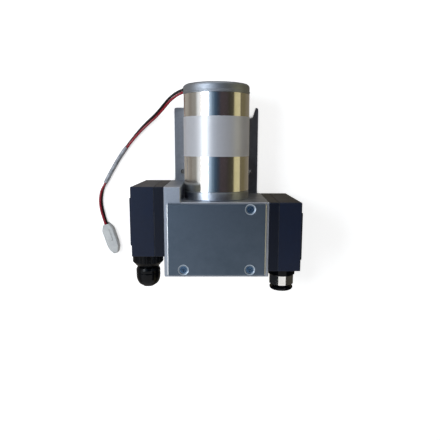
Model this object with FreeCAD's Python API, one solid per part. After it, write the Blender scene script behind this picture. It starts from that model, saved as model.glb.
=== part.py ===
import FreeCAD, Part
import os
import math

from FreeCAD import Vector

os.makedirs("parts", exist_ok=True)

# Twin-head diaphragm vacuum pump, lying on its base plate.
# Millimetres. X runs from the left head to the right head, Y along the motor
# shaft towards the motor's end cap, Z up from the base plate to the cover.
# The origin is midway between the base plate's two holes, on its underside.
# Places in this file are measured from the motor seat on the shaft axis, and
# at() turns them into that frame.

# Base plate
plate_thickness = 3.0
plate_half_width = 36.0
plate_end = 73.4
plate_corner = 1.5
mount_hole_radius = 2.15
mount_hole_x = 29.1
mount_hole_y = 18.9
notch_x = 29.4
notch_y = 66.7
notch_radius = 2.5
notch_flare = 2.0
plate_screw_x = 22.0
plate_screw_inset = 11.5
plate_screw_bite = 5.4

# Crank housing
housing_half_width = 39.5
housing_length = 56.9
housing_half_depth = 33.0
housing_chamfer = 0.5
motor_wall = 9.0
end_wall = 10.4
side_wall = 11.5
floor_wall = 9.0
cavity_corner = 4.0
shoulder_gap = 1.0
bore_lap = 1.0

# Housing cover
cover_side_inset = 2.3
cover_top_inset = 0.8
cover_bottom_inset = 1.3
cover_thickness = 1.9
cover_corner = 1.2
cover_edge = 1.3
cover_screw_side_inset = 14.5
cover_screw_top = 4.9
cover_screw_end_inset = 6.0
cover_screw_bite = 8.0
cover_screw_sink = 0.5
cover_screw_mouth = 4.05
gasket_thickness = 0.4
gasket_inset = 0.5
head_gasket_inset = 0.3

# Screws: thread radius, head radius, head height
m3_radius = 1.5
m3_head_radius = 2.75
m3_head_height = 3.0
m3_csk_radius = 2.85
m4_radius = 2.0
m4_head_radius = 3.5
m4_head_height = 4.0
m4_csk_radius = 4.0
recess_width = 0.9
recess_depth = 1.1
recess_share = 0.55
hex_share = 0.8
hex_depth_share = 0.6

# Motor
motor_radius = 25.8
motor_wall_thickness = 1.8
flange_length = 6.5
flange_edge = 0.6
flange_seat_edge = 0.4
tube_length = 74.2
tube_edge = 0.3
cap_length = 7.3
cap_rounding = 2.3
cap_bead = 0.35
cap_bead_start = 0.7
cap_bead_slope = 0.3
cap_bead_width = 0.6
cap_rim = 2.0
cap_room = 4.4
cap_spigot = 3.0
pilot_radius = 10.9
pilot_length = 3.5
motor_screw_circle = 16.0
motor_screw_end = 1.0
motor_screw_angles = (45.0, 225.0)
magnet_thickness = 3.9
magnet_angle = 126.0
magnet_start = 18.0
magnet_length = 42.0
air_gap = 0.8
core_start = 22.0
core_length = 34.0
slot_count = 10
slot_depth = 9.0
slot_width = 4.2
slot_mouth = 1.6
tooth_tip = 1.6
tooth_slope = 1.4
winding_overhang = 7.0
winding_slope = 2.2
winding_lead_in = 3.0
winding_room = 0.4
commutator_radius = 7.5
commutator_start = 66.0
commutator_length = 9.6
riser_length = 2.0
riser_height = 1.3
bar_gap_depth = 1.0
commutator_bars = 10
bar_gap = 0.7
brush_plate_thickness = 2.0
brush_axial = 5.0
brush_width = 4.0
brush_length = 8.5
holder_wall = 0.6
holder_reach = 20.5
holder_standoff = 1.5
spring_wire = 0.25
spring_turns = 4.0
spring_steps = 64

# Label round the motor tube, its angle in degrees
label_start = 33.35
label_length = 30.0
label_thickness = 0.15
label_angle = 230.0

# Shaft and bearings: bore radius, outer radius, width
shaft_radius = 3.0
shaft_chamfer = 0.5
shaft_end_play = 0.3
shaft_bearing_radius = 9.5
shaft_bearing_width = 6.0
rod_bearing_bore = 7.5
rod_bearing_radius = 12.0
rod_bearing_width = 5.0
ring_thickness = 1.6
shield_thickness = 0.5

# Crank drive
eccentric_throw = 1.8
head_stagger = 11.5
rod_thickness = 8.0
rod_ring_wall = 3.0
rod_web = 3.0
rod_height = 11.0
rod_foot_radius = 14.0
rod_foot_thickness = 3.0
rod_foot_taper = 1.2
rod_foot_edge = 0.4
rod_rib = 1.8
rod_lap = 0.5
thread_end_room = 2.0
bearing_lip = 1.2
collar_thickness = 2.15
collar_step = 0.2
counterweight_radius = 18.0
counterweight_thickness = 6.0
counterweight_angle = 140.0
counterweight_hub = 8.0

# Pump heads
head_length = 52.7
head_chamfer = 0.5
diaphragm_thickness = 1.6
diaphragm_rim = 2.8
diaphragm_wall = 3.05
dish_slope = 4.5
fold_sag = 0.5
dish_floor_gap = 0.4
side_bore_radius = 17.0
clamp_disc_radius = 13.0
clamp_disc_thickness = 2.0
clamp_disc_edge = 0.5
clamp_screw_length = 12.0
valve_plate_thickness = 6.9
head_cover_thickness = 17.0
cover_draft = 2.0
pad_length = 38.6
pad_shift = -1.5
pad_half_depth = 22.8
pad_height = 2.9
pad_slope = 1.0
head_screw_inset = 4.85
head_screw_side_inset = 6.0
head_screw_bite = 9.5
head_screw_end_room = 0.5
head_screw_seat = 10.4

# Valves and ducts inside the heads
valve_z = 9.5
valve_radius = 5.2
valve_lip = 1.0
valve_lip_edge = 0.5
valve_tail = 2.4
valve_bulb_length = 1.8
valve_bulb_shoulder = 0.9
valve_room = 0.5
valve_stem_radius = 1.15
valve_bulb_radius = 1.6
valve_recess_depth = 1.3
valve_hole_circle = 3.3
valve_hole_radius = 0.9
valve_hole_count = 6
plenum_radius = 7.0
plenum_depth = 9.0
far_plenum_depth = 13.0
duct_radius = 1.75
cross_duct_radius = 1.4
near_duct_depth = 4.4
far_duct_depth = 11.7
seal_section = 0.78
seal_radius = 2.65

# Fittings
port_inset = 8.6
port_z = 7.0
port_bore_radius = 3.0
port_thread_radius = 4.86
port_thread_length = 8.0
thread_tip_room = 0.5
hose_radius = 4.05
inlet_collar_radius = 12.3
inlet_collar_length = 13.6
inlet_collar_end_radius = 8.7
inlet_collar_taper = 4.1
inlet_flutes = 20
inlet_flute_radius = 0.9
inlet_flute_bite = 0.45
inlet_flute_stop = 2.0
inlet_neck_radius = 6.6
inlet_neck_length = 5.0
inlet_nut_radius = 9.7
inlet_nut_gap = 0.9
inlet_nut_length = 15.5
inlet_nut_shoulder = 0.8
inlet_nut_shoulder_length = 1.7
inlet_nut_ring = 4.3
inlet_nut_groove = 0.45
inlet_nut_dome = 8.4
inlet_nut_dome_steps = 8
inlet_nut_lip = 0.9
inlet_nut_mouth = 0.6
hose_stop = 2.0
fitting_edge = 0.5
seal_squeeze = 0.1
seal_length = 2.1
outlet_washer_radius = 11.2
outlet_washer_length = 13.0
outlet_washer_floor = 3.4
outlet_washer_chamfer = 0.6
outlet_body_radius = 10.1
outlet_body_length = 18.4
outlet_body_chamfer = 0.9
outlet_socket_radius = 7.6
outlet_socket_depth = 13.0
release_travel = 1.2
release_flange_radius = 9.8
release_flange_length = 2.8
release_rounding = 2.0
release_sleeve_length = 8.6
release_mouth = 0.8

# Motor lead and its plug
lead_radius = 2.0
sleeve_radius = 2.35
sleeve_from = 76.0
sleeve_to = 114.0
grommet_radius = 3.6
grommet_flange = 0.6
grommet_start = 19.0
lead_exit_share = 0.55
grommet_angle = 200.0
grommet_proud = 0.8
plug_length = 27.0
plug_half_width = 5.1
plug_height = 6.6
plug_corner = 0.8
plug_edge = 0.8
plug_neck_length = 4.4
plug_neck_half_width = 2.8
plug_cavity_start = 2.5
plug_taper_length = 9.6
plug_taper_bulge = 0.8
plug_tip_half_width = 2.4
plug_latch_start = 4.4
plug_latch_length = 11.0
plug_latch_width = 3.0
plug_latch_height = 0.7
plug_cavity_radius = 1.0
plug_cavity_pitch = 2.5
plug_terminal_length = 13.0
plug_terminal_inset = 2.0
plug_terminal_wall = 0.3

# Clearances
slip = 0.02
running = 0.05
brush_gap = 0.1
body_gap = 0.3

# Sizes that follow from the ones above
axis_height = plate_thickness + housing_half_depth
left_rod_y = head_stagger - head_length / 2
right_rod_y = left_rod_y - head_stagger
tube_start = flange_length
tube_end = tube_start + tube_length
cap_end = tube_end + cap_length
tube_bore = motor_radius - motor_wall_thickness
shoulder_inner = motor_radius + shoulder_gap
cavity_half_width = housing_half_width - side_wall
cavity_floor = floor_wall - housing_half_depth
cover_half_width = housing_half_width - cover_side_inset
cover_screw_x = housing_half_width - cover_screw_side_inset
cover_screw_bottom = housing_length - cover_screw_end_inset
cover_bottom = housing_half_depth + gasket_thickness
diaphragm_radius = head_length / 2 - diaphragm_wall
dish_radius = diaphragm_radius - diaphragm_rim
dish_floor_radius = dish_radius - dish_slope
head_screw_y = head_length / 2 - head_screw_inset
head_screw_z = housing_half_depth - head_screw_side_inset
duct_z = -head_screw_z
valve_plate_outer = housing_half_width + valve_plate_thickness
head_cover_inner = valve_plate_outer + gasket_thickness
head_cover_outer = head_cover_inner + head_cover_thickness
port_offset = head_cover_inner + port_inset
diaphragm_seat = housing_half_width - diaphragm_thickness
rod_length = diaphragm_seat
clamp_disc_top = housing_half_width + eccentric_throw + clamp_disc_thickness
dish_floor = clamp_disc_top + dish_floor_gap
end_bearing_start = -(housing_length - end_wall) - shaft_bearing_width
front_bearing_start = -pilot_length + 1.0
rear_bearing_start = tube_end - cap_spigot + 1.3
core_radius = tube_bore - magnet_thickness - air_gap
duct_y = (left_rod_y + right_rod_y) / 2

X_AXIS = Vector(1, 0, 0)
Y_AXIS = Vector(0, 1, 0)
Z_AXIS = Vector(0, 0, 1)
LEFT = -1
RIGHT = 1


def at(x, y, z):
    """A place measured from the motor seat on the shaft axis, in the part's frame."""
    return Vector(x, y - mount_hole_y, z + axis_height)


def block(x0, x1, y0, y1, z0, z1):
    """A box between two opposite corners."""
    low = at(min(x0, x1), min(y0, y1), min(z0, z1))
    return Part.makeBox(abs(x1 - x0), abs(y1 - y0), abs(z1 - z0), low)


def along_x(radius, x0, x1, y, z):
    """A round bar along X."""
    return Part.makeCylinder(radius, abs(x1 - x0), at(min(x0, x1), y, z), X_AXIS)


def along_y(radius, y0, y1, x=0.0, z=0.0):
    """A round bar along Y."""
    return Part.makeCylinder(radius, abs(y1 - y0), at(x, min(y0, y1), z), Y_AXIS)


def along_z(radius, z0, z1, x, y):
    """A round bar along Z."""
    return Part.makeCylinder(radius, abs(z1 - z0), at(x, y, min(z0, z1)), Z_AXIS)


def turned(points, x=0.0, z=0.0):
    """A solid turned about a line along Y. Points are (radius, y)."""
    corners = [at(x + radius, y, z) for radius, y in points]
    outline = Part.makePolygon(corners + corners[:1])
    return Part.Face(outline).revolve(at(x, 0, z), Y_AXIS, 360)


def turned_on_head(side, y, points, z=0.0):
    """A solid turned about a line along X. Points are (distance from the shaft, radius)."""
    corners = [at(side * out, y + radius, z) for out, radius in points]
    outline = Part.makePolygon(corners + corners[:1])
    return Part.Face(outline).revolve(at(0, y, z), X_AXIS, 360)


def straight_edges(shape, test):
    """The straight edges whose middle and direction pass a test."""
    found = []
    for edge in shape.Edges:
        if edge.Curve.TypeId != "Part::GeomLine":
            continue
        ends = [vertex.Point for vertex in edge.Vertexes]
        if len(ends) == 2 and test((ends[0] + ends[1]) / 2, ends[1] - ends[0]):
            found.append(edge)
    return found


def runs_along(direction, axis):
    """True where a direction is parallel to an axis."""
    return direction.cross(axis).Length < 1e-6 * direction.Length


def rounded_slab(x0, x1, y0, y1, z0, z1, corner):
    """A flat plate with rounded corners in plan."""
    slab = block(x0, x1, y0, y1, z0, z1)
    uprights = straight_edges(slab, lambda middle, way: runs_along(way, Z_AXIS))
    return slab.makeFillet(corner, uprights)


def cut_all(shape, tools):
    """Cut several tools out of a shape."""
    return shape.cut(Part.makeCompound(tools))


def cross_recess(centre, axis, across, reach):
    """The cross slot of a screw head: two crossed bars sunk below a face."""
    half = recess_width / 2
    side = axis.cross(across)
    bars = []
    for way, other in ((across, side), (side, across)):
        corners = []
        for a, b in ((-reach, -half), (reach, -half), (reach, half), (-reach, half)):
            corners.append(centre + way * a + other * b)
        face = Part.Face(Part.makePolygon(corners + corners[:1]))
        bars.append(face.extrude(axis * -recess_depth))
    return bars


# Base plate with its two holes and the open notch in its far edge

def base_plate():
    top = -housing_half_depth
    bottom = top - plate_thickness
    plate = rounded_slab(-plate_half_width, plate_half_width, -housing_length,
                         plate_end, bottom, top, plate_corner)
    cuts = []
    for x in (-mount_hole_x, mount_hole_x):
        cuts.append(along_z(mount_hole_radius, bottom, top, x, mount_hole_y))
    cuts.append(along_z(notch_radius, bottom, top, notch_x, notch_y))
    mouth = [at(notch_x - notch_radius, notch_y, bottom),
             at(notch_x + notch_radius, notch_y, bottom),
             at(notch_x + notch_radius + notch_flare, plate_end, bottom),
             at(notch_x + notch_radius + notch_flare, plate_end + plate_thickness, bottom),
             at(notch_x - notch_radius, plate_end + plate_thickness, bottom)]
    mouth_face = Part.Face(Part.makePolygon(mouth + mouth[:1]))
    cuts.append(mouth_face.extrude(Z_AXIS * plate_thickness))
    for x, y in plate_screw_places():
        cuts.append(along_z(m4_radius + slip, bottom, top, x, y))
        cuts.append(countersink(at(x, y, bottom), Z_AXIS, m4_radius, m4_csk_radius))
    return cut_all(plate, cuts)


def plate_screw_places():
    """Where the four screws hold the housing to the base plate."""
    rows = (-plate_screw_inset, -housing_length + plate_screw_inset)
    return [(x, y) for y in rows for x in (-plate_screw_x, plate_screw_x)]


def countersink(mouth, inward, thread, head):
    """The cone that a countersunk head sits in, from its mouth inwards."""
    return Part.makeCone(head + slip, thread + slip, head - thread, mouth, inward)


def countersunk_screw(mouth, inward, across, length, thread, head):
    """A countersunk screw with its head flush with the mouth of its countersink."""
    cone = Part.makeCone(head, thread, head - thread, mouth, inward)
    shank = Part.makeCylinder(thread, length, mouth, inward)
    slots = cross_recess(mouth, inward * -1, across, head * recess_share)
    return cut_all(cone.fuse(shank), slots)


def base_plate_screws():
    screws = []
    for x, y in plate_screw_places():
        mouth = at(x, y, -housing_half_depth - plate_thickness)
        length = plate_thickness + plate_screw_bite
        screws.append(countersunk_screw(mouth, Z_AXIS, X_AXIS, length,
                                        m4_radius, m4_csk_radius))
    return screws


# Crank housing: a block with a raised left shoulder, a crank chamber open to
# the cover, a diaphragm seat on each side and the duct that joins the heads

def crank_housing():
    low = -housing_half_depth
    high = housing_half_depth
    body = block(-housing_half_width, housing_half_width, -housing_length, 0, low, high)
    shoulder = block(-housing_half_width, -shoulder_inner, 0, head_stagger, low, high)
    body = body.fuse(shoulder).removeSplitter()
    rims = straight_edges(body, lambda middle, way: is_housing_rim(middle))
    body = body.makeChamfer(housing_chamfer, rims)
    cavity = rounded_slab(-cavity_half_width, cavity_half_width,
                          -housing_length + end_wall, -motor_wall,
                          cavity_floor, high, cavity_corner)
    cuts = [cavity]
    cuts.append(along_y(pilot_radius + slip, -motor_wall, 0))
    cuts.append(along_y(shaft_bearing_radius + slip, end_bearing_start,
                        -housing_length + end_wall))
    for side, y in ((LEFT, left_rod_y), (RIGHT, right_rod_y)):
        seat = [(cavity_half_width - bore_lap, 0), (cavity_half_width - bore_lap, side_bore_radius),
                (diaphragm_seat - 2 * eccentric_throw, side_bore_radius),
                (diaphragm_seat, dish_radius),
                (diaphragm_seat, diaphragm_radius + slip),
                (housing_half_width, diaphragm_radius + slip), (housing_half_width, 0)]
        cuts.append(turned_on_head(side, y, seat))
        for screw_y, screw_z in head_screw_places(y):
            inner = side * (housing_half_width - head_screw_bite)
            cuts.append(along_x(m4_radius + slip, inner, side * housing_half_width,
                                screw_y, screw_z))
        cuts.append(along_x(seal_radius + seal_section + slip,
                            side * (housing_half_width - 2 * seal_section - slip),
                            side * housing_half_width, duct_y, duct_z))
    cuts.append(along_x(duct_radius, -housing_half_width, housing_half_width, duct_y, duct_z))
    for x, y in cover_screw_places():
        cuts.append(along_z(m3_radius + slip, high - motor_wall, high, x, y))
    for x, y in plate_screw_places():
        cuts.append(along_z(m4_radius + slip, low, low + plate_screw_bite + slip, x, y))
    for x, z in motor_screw_places():
        cuts.append(along_y(m3_radius + slip, -motor_wall, 0, x, z))
        cuts.append(along_y(m3_head_radius + running, -motor_wall,
                            -motor_wall + m3_head_height + body_gap, x, z))
    return cut_all(body, cuts)


def is_housing_rim(middle):
    """The housing's outer edges, apart from those against the base plate."""
    return middle.z > at(0, 0, -housing_half_depth).z + 0.01


def head_screw_places(y):
    """Where a head's four screws pass, as (y, z)."""
    return [(y + a * head_screw_y, b * head_screw_z) for a in (-1, 1) for b in (-1, 1)]


def cover_screw_places():
    """The cover has three screws: none at the upper left."""
    return [(cover_screw_x, -cover_screw_top), (cover_screw_x, -cover_screw_bottom),
            (-cover_screw_x, -cover_screw_bottom)]


def motor_screw_places():
    """Where the motor's screws pass through the housing wall, as (x, z)."""
    places = []
    for angle in motor_screw_angles:
        turn = math.radians(angle)
        places.append((motor_screw_circle * math.cos(turn),
                       motor_screw_circle * math.sin(turn)))
    return places


# Housing cover, its gasket and screws

def housing_cover():
    top = cover_bottom + cover_thickness
    plate = rounded_slab(-cover_half_width, cover_half_width,
                         -housing_length + cover_bottom_inset, -cover_top_inset,
                         cover_bottom, top, cover_corner)
    height = at(0, 0, top).z
    rim = [edge for edge in plate.Edges if abs(edge.BoundBox.ZMin - height) < 1e-6]
    plate = plate.makeFillet(cover_edge, rim)
    cuts = []
    inward = Z_AXIS * -1
    for x, y in cover_screw_places():
        cuts.append(along_z(m3_radius + slip, cover_bottom, top, x, y))
        cuts.append(Part.makeCone(cover_screw_mouth, m3_csk_radius + slip, cover_screw_sink,
                                  at(x, y, top), inward))
        cuts.append(countersink(at(x, y, top - cover_screw_sink), inward,
                                m3_radius, m3_csk_radius))
    return cut_all(plate, cuts)


def cover_gasket():
    sheet = rounded_slab(-cover_half_width + gasket_inset, cover_half_width - gasket_inset,
                         -housing_length + cover_bottom_inset + gasket_inset,
                         -cover_top_inset - gasket_inset,
                         housing_half_depth, cover_bottom, cover_corner)
    window = rounded_slab(-cavity_half_width, cavity_half_width,
                          -housing_length + end_wall, -motor_wall,
                          housing_half_depth, cover_bottom, cavity_corner)
    cuts = [window]
    for x, y in cover_screw_places():
        cuts.append(along_z(m3_radius + slip, housing_half_depth, cover_bottom, x, y))
    return cut_all(sheet, cuts)


def cover_screws():
    mouth = cover_bottom + cover_thickness - cover_screw_sink
    length = mouth - housing_half_depth + cover_screw_bite
    return [countersunk_screw(at(x, y, mouth), Z_AXIS * -1, X_AXIS, length,
                              m3_radius, m3_csk_radius)
            for x, y in cover_screw_places()]


# Motor: flange, tube, end cap and what they hold

def motor_front_flange():
    bearing_end = front_bearing_start + shaft_bearing_width
    profile = [(shaft_radius + body_gap, bearing_end), (shaft_radius + body_gap, flange_length),
               (motor_radius - flange_edge, flange_length),
               (motor_radius, flange_length - flange_edge),
               (motor_radius, flange_seat_edge), (motor_radius - flange_seat_edge, 0),
               (pilot_radius, 0), (pilot_radius, -pilot_length),
               (shaft_bearing_radius + slip, -pilot_length),
               (shaft_bearing_radius + slip, bearing_end)]
    flange = turned(profile)
    cuts = [along_y(m3_radius + slip, 0, flange_length, x, z) for x, z in motor_screw_places()]
    return cut_all(flange, cuts)


def motor_screws():
    screws = []
    seat = -motor_wall + m3_head_height + body_gap
    for x, z in motor_screw_places():
        head = along_y(m3_head_radius, seat - m3_head_height, seat, x, z)
        shank = along_y(m3_radius, seat, flange_length - motor_screw_end, x, z)
        socket = along_y(m3_radius * hex_share, seat - m3_head_height,
                         seat - m3_head_height * (1 - hex_depth_share), x, z)
        screws.append(head.fuse(shank).cut(socket))
    return screws


def motor_tube():
    edge = tube_edge
    profile = [(tube_bore, tube_start), (motor_radius - edge, tube_start),
               (motor_radius, tube_start + edge), (motor_radius, tube_end - edge),
               (motor_radius - edge, tube_end), (tube_bore, tube_end)]
    return turned(profile)


def motor_magnets():
    magnets = []
    inner = core_radius + air_gap
    outer = tube_bore - slip
    ring = along_y(outer, magnet_start, magnet_start + magnet_length)
    ring = ring.cut(along_y(inner, magnet_start, magnet_start + magnet_length))
    for centre in (0.0, 180.0):
        magnets.append(ring.common(sector(centre, magnet_angle, motor_radius * 2,
                                          magnet_start, magnet_start + magnet_length)))
    return magnets


def sector(centre, angle, reach, y0, y1):
    """A wedge about the shaft axis, centre and angle in degrees from +X to +Z."""
    steps = 8
    corners = [at(0, y0, 0)]
    for step in range(steps + 1):
        turn = math.radians(centre - angle / 2 + angle * step / steps)
        corners.append(at(reach * math.cos(turn), y0, reach * math.sin(turn)))
    face = Part.Face(Part.makePolygon(corners + corners[:1]))
    return face.extrude(Y_AXIS * (y1 - y0))


def motor_end_cap():
    bearing_end = rear_bearing_start + shaft_bearing_width
    spigot_start = tube_end - cap_spigot
    outer = tube_bore - slip
    inner = outer - cap_rim
    boss = shaft_bearing_radius + cap_rim
    bead_start = tube_end + cap_bead_start
    bead_end = bead_start + cap_bead_width + 2 * cap_bead_slope
    profile = [(0, bearing_end), (shaft_bearing_radius + slip, bearing_end),
               (shaft_bearing_radius + slip, spigot_start),
               (boss, spigot_start), (boss, tube_end),
               (inner, tube_end), (inner, spigot_start),
               (outer, spigot_start), (outer, tube_end),
               (motor_radius, tube_end), (motor_radius, bead_start),
               (motor_radius + cap_bead, bead_start + cap_bead_slope),
               (motor_radius + cap_bead, bead_end - cap_bead_slope),
               (motor_radius, bead_end),
               (motor_radius, cap_end - cap_rounding)]
    for step in range(1, 5):
        turn = math.radians(90.0 * step / 4)
        profile.append((motor_radius - cap_rounding + cap_rounding * math.cos(turn),
                        cap_end - cap_rounding + cap_rounding * math.sin(turn)))
    profile.append((0, cap_end))
    cap = turned(profile)
    room = turned([(boss, tube_end), (inner, tube_end), (inner, tube_end + cap_room),
                   (boss, tube_end + cap_room)])
    hole = grommet_bar(grommet_radius + slip, grommet_start - 1.0, motor_radius + 2.0)
    return cut_all(cap, [room, hole])


def grommet_way():
    """The direction in which the lead leaves the end cap, square to the shaft."""
    turn = math.radians(grommet_angle)
    return Vector(math.cos(turn), 0, math.sin(turn))


def grommet_bar(radius, start, end):
    """A bar on the lead's line out of the end cap."""
    way = grommet_way()
    foot = at(0, lead_exit_y(), 0) + way * start
    return Part.makeCylinder(radius, end - start, foot, way)


def lead_exit_y():
    return tube_end + lead_exit_share * cap_length


def lead_grommet():
    rim = motor_radius + cap_bead
    collar = grommet_bar(grommet_radius + grommet_flange, rim + slip, rim + grommet_proud)
    body = grommet_bar(grommet_radius, grommet_start, rim + slip)
    bore = grommet_bar(lead_radius + slip, grommet_start, rim + grommet_proud)
    return collar.fuse(body).cut(bore)


def brush_plate():
    end = tube_end - cap_spigot
    start = end - brush_plate_thickness
    disc = along_y(tube_bore - slip, start, end)
    return disc.cut(along_y(shaft_bearing_radius, start, end))


def brush_line():
    """The y of the brushes, midway along the commutator."""
    return commutator_start + commutator_length / 2


def brush_box(half_width, half_axial, inner, outer, side):
    middle = brush_line()
    return block(side * inner, side * outer, middle - half_axial, middle + half_axial,
                 -half_width, half_width)


def brush_holders():
    holders = []
    half_width = brush_width / 2 + running
    half_axial = brush_axial / 2 + running
    plate_face = tube_end - cap_spigot - brush_plate_thickness
    for side in (LEFT, RIGHT):
        inner = commutator_radius + holder_standoff
        shell = brush_box(half_width + holder_wall, half_axial + holder_wall,
                          inner, holder_reach, side)
        room = brush_box(half_width, half_axial, inner, holder_reach - holder_wall, side)
        foot = block(side * inner, side * holder_reach, brush_line() + half_axial + holder_wall,
                     plate_face, -half_width, half_width)
        holders.append(shell.cut(room).fuse(foot))
    return holders


def carbon_brushes():
    inner = commutator_radius + brush_gap
    return [brush_box(brush_width / 2, brush_axial / 2, inner, inner + brush_length, side)
            for side in (LEFT, RIGHT)]


def brush_springs():
    springs = []
    coil = brush_width / 2 - spring_wire - running
    start = commutator_radius + brush_gap + brush_length + spring_wire
    end = holder_reach - holder_wall - spring_wire
    for side in (LEFT, RIGHT):
        points = []
        for step in range(spring_steps + 1):
            share = step / spring_steps
            turn = 2 * math.pi * spring_turns * share
            points.append(at(side * (start + (end - start) * share),
                             brush_line() + coil * math.cos(turn), coil * math.sin(turn)))
        line = Part.BSplineCurve()
        line.interpolate(points)
        path = Part.Wire(line.toShape())
        ring = Part.Wire(Part.makeCircle(spring_wire, points[0], line.tangent(0)[0]))
        springs.append(path.makePipeShell([ring], True, False))
    return springs


def motor_label():
    inner = motor_radius + slip
    outer = inner + label_thickness
    band = along_y(outer, label_start, label_start + label_length)
    band = band.cut(along_y(inner, label_start, label_start + label_length))
    return band.common(sector(90.0, label_angle, motor_radius * 2,
                              label_start, label_start + label_length))


# Shaft, armature and commutator

def motor_shaft():
    start = end_bearing_start + shaft_end_play
    end = rear_bearing_start + shaft_bearing_width - shaft_end_play
    chamfer = shaft_chamfer
    return turned([(0, start), (shaft_radius - chamfer, start), (shaft_radius, start + chamfer),
                   (shaft_radius, end - chamfer), (shaft_radius - chamfer, end), (0, end)])


def armature_core():
    end = core_start + core_length
    core = along_y(core_radius, core_start, end)
    cuts = [along_y(shaft_radius + slip, core_start, end)]
    for index in range(slot_count):
        cuts.append(around_shaft(armature_slot(core_start, end), index * 360.0 / slot_count))
    return cut_all(core, cuts)


def armature_slot(y0, y1):
    """One winding slot: a pear-shaped room with a narrow mouth."""
    beyond = core_radius + 1.0
    room_top = core_radius - tooth_tip
    room_wide = room_top - tooth_slope
    room_bottom = core_radius - slot_depth
    foot = slot_width * 0.35
    outline = [(-slot_mouth / 2, beyond), (-slot_mouth / 2, room_top),
               (-slot_width, room_wide), (-foot, room_bottom),
               (foot, room_bottom), (slot_width, room_wide),
               (slot_mouth / 2, room_top), (slot_mouth / 2, beyond)]
    corners = [at(x, y0, z) for x, z in outline]
    return Part.Face(Part.makePolygon(corners + corners[:1])).extrude(Y_AXIS * (y1 - y0))


def around_shaft(shape, angle):
    """A copy of a shape turned about the shaft axis."""
    copy = shape.copy()
    copy.rotate(at(0, 0, 0), Y_AXIS, angle)
    return copy


def armature_windings():
    end = core_start + core_length
    inner = core_radius - slot_depth + winding_room
    outer = core_radius - tooth_tip - 1.0
    crowns = []
    for face, way in ((core_start, -1), (end, 1)):
        tip = face + way * winding_overhang
        near = face + way * slip
        crowns.append(turned([(inner, near), (outer, near), (outer, face + way * winding_lead_in),
                              (outer - winding_slope, tip), (inner + winding_room, tip)]))
    half = slot_width * 0.3
    bars = []
    for index in range(slot_count):
        bar = block(-half, half, core_start - 1.0, end + 1.0, inner + winding_room,
                    outer - winding_room)
        bars.append(around_shaft(bar, index * 360.0 / slot_count))
    return crowns[0].multiFuse([crowns[1]] + bars)


def commutator():
    end = commutator_start + commutator_length
    tail = commutator_start - riser_length
    riser = commutator_radius + riser_height
    drum = turned([(shaft_radius + slip, tail), (riser, tail), (riser, commutator_start),
                   (commutator_radius, commutator_start), (commutator_radius, end),
                   (shaft_radius + slip, end)])
    cuts = []
    for index in range(commutator_bars):
        groove = block(-bar_gap / 2, bar_gap / 2, tail, end,
                       commutator_radius - bar_gap_depth, riser + 1.0)
        cuts.append(around_shaft(groove, index * 360.0 / commutator_bars))
    return cut_all(drum, cuts)


# Ball bearings: inner and outer rings with shields, balls left out

def inner_ring(bore, width, start, x=0.0):
    ring = along_y(bore + ring_thickness, start, start + width, x)
    return ring.cut(along_y(bore + slip, start, start + width, x))


def outer_ring(bore, radius, width, start, x=0.0):
    """An outer ring whose two shields reach in to just clear of the inner ring."""
    shield = bore + ring_thickness + body_gap
    race = radius - ring_thickness
    end = start + width
    return turned([(shield, start), (radius, start), (radius, end), (shield, end),
                   (shield, end - shield_thickness), (race, end - shield_thickness),
                   (race, start + shield_thickness), (shield, start + shield_thickness)], x)


def shaft_bearing_starts():
    return (end_bearing_start, front_bearing_start, rear_bearing_start)


def shaft_bearing_inner_rings():
    return [inner_ring(shaft_radius, shaft_bearing_width, start)
            for start in shaft_bearing_starts()]


def shaft_bearing_outer_rings():
    return [outer_ring(shaft_radius, shaft_bearing_radius, shaft_bearing_width, start)
            for start in shaft_bearing_starts()]


def rod_bearing_start(y):
    return y - rod_bearing_width / 2


def rod_bearing_inner_rings():
    return [inner_ring(rod_bearing_bore, rod_bearing_width, rod_bearing_start(y),
                       eccentric_throw)
            for y in (left_rod_y, right_rod_y)]


def rod_bearing_outer_ring(y):
    return outer_ring(rod_bearing_bore, rod_bearing_radius, rod_bearing_width,
                      rod_bearing_start(y), eccentric_throw)


# Eccentric drive on the shaft

def sleeve_end():
    return rod_bearing_start(right_rod_y) - collar_thickness


def sleeve_collar_radius():
    return rod_bearing_bore + ring_thickness - collar_step


def eccentric_sleeve():
    collar_start = rod_bearing_start(left_rod_y) + rod_bearing_width
    journal = along_y(rod_bearing_bore, sleeve_end(), collar_start, eccentric_throw)
    collar = along_y(sleeve_collar_radius(), collar_start, collar_start + collar_thickness,
                     eccentric_throw)
    bore = along_y(shaft_radius + slip, sleeve_end(), collar_start + collar_thickness)
    return journal.fuse(collar).cut(bore)


def bearing_spacer():
    start = rod_bearing_start(right_rod_y) + rod_bearing_width
    end = rod_bearing_start(left_rod_y)
    ring = along_y(sleeve_collar_radius(), start, end, eccentric_throw)
    return ring.cut(along_y(rod_bearing_bore + slip, start, end, eccentric_throw))


def counterweight():
    end = sleeve_end()
    start = end - counterweight_thickness
    hub = along_y(counterweight_hub, start, end)
    fan = along_y(counterweight_radius, start, end)
    fan = fan.common(sector(180.0, counterweight_angle, counterweight_radius * 2, start, end))
    neck_end = rod_bearing_start(right_rod_y)
    neck = along_y(sleeve_collar_radius(), end, neck_end, eccentric_throw)
    neck = neck.cut(along_y(rod_bearing_bore + slip, end, neck_end, eccentric_throw))
    base = along_y(sleeve_collar_radius(), start, end, eccentric_throw)
    bore = along_y(shaft_radius + slip, start, neck_end)
    screw_hole = along_x(m3_radius + slip, shaft_radius, counterweight_radius,
                         start + counterweight_thickness / 2, 0)
    return hub.multiFuse([fan, base, neck]).cut(bore).cut(screw_hole)


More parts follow.
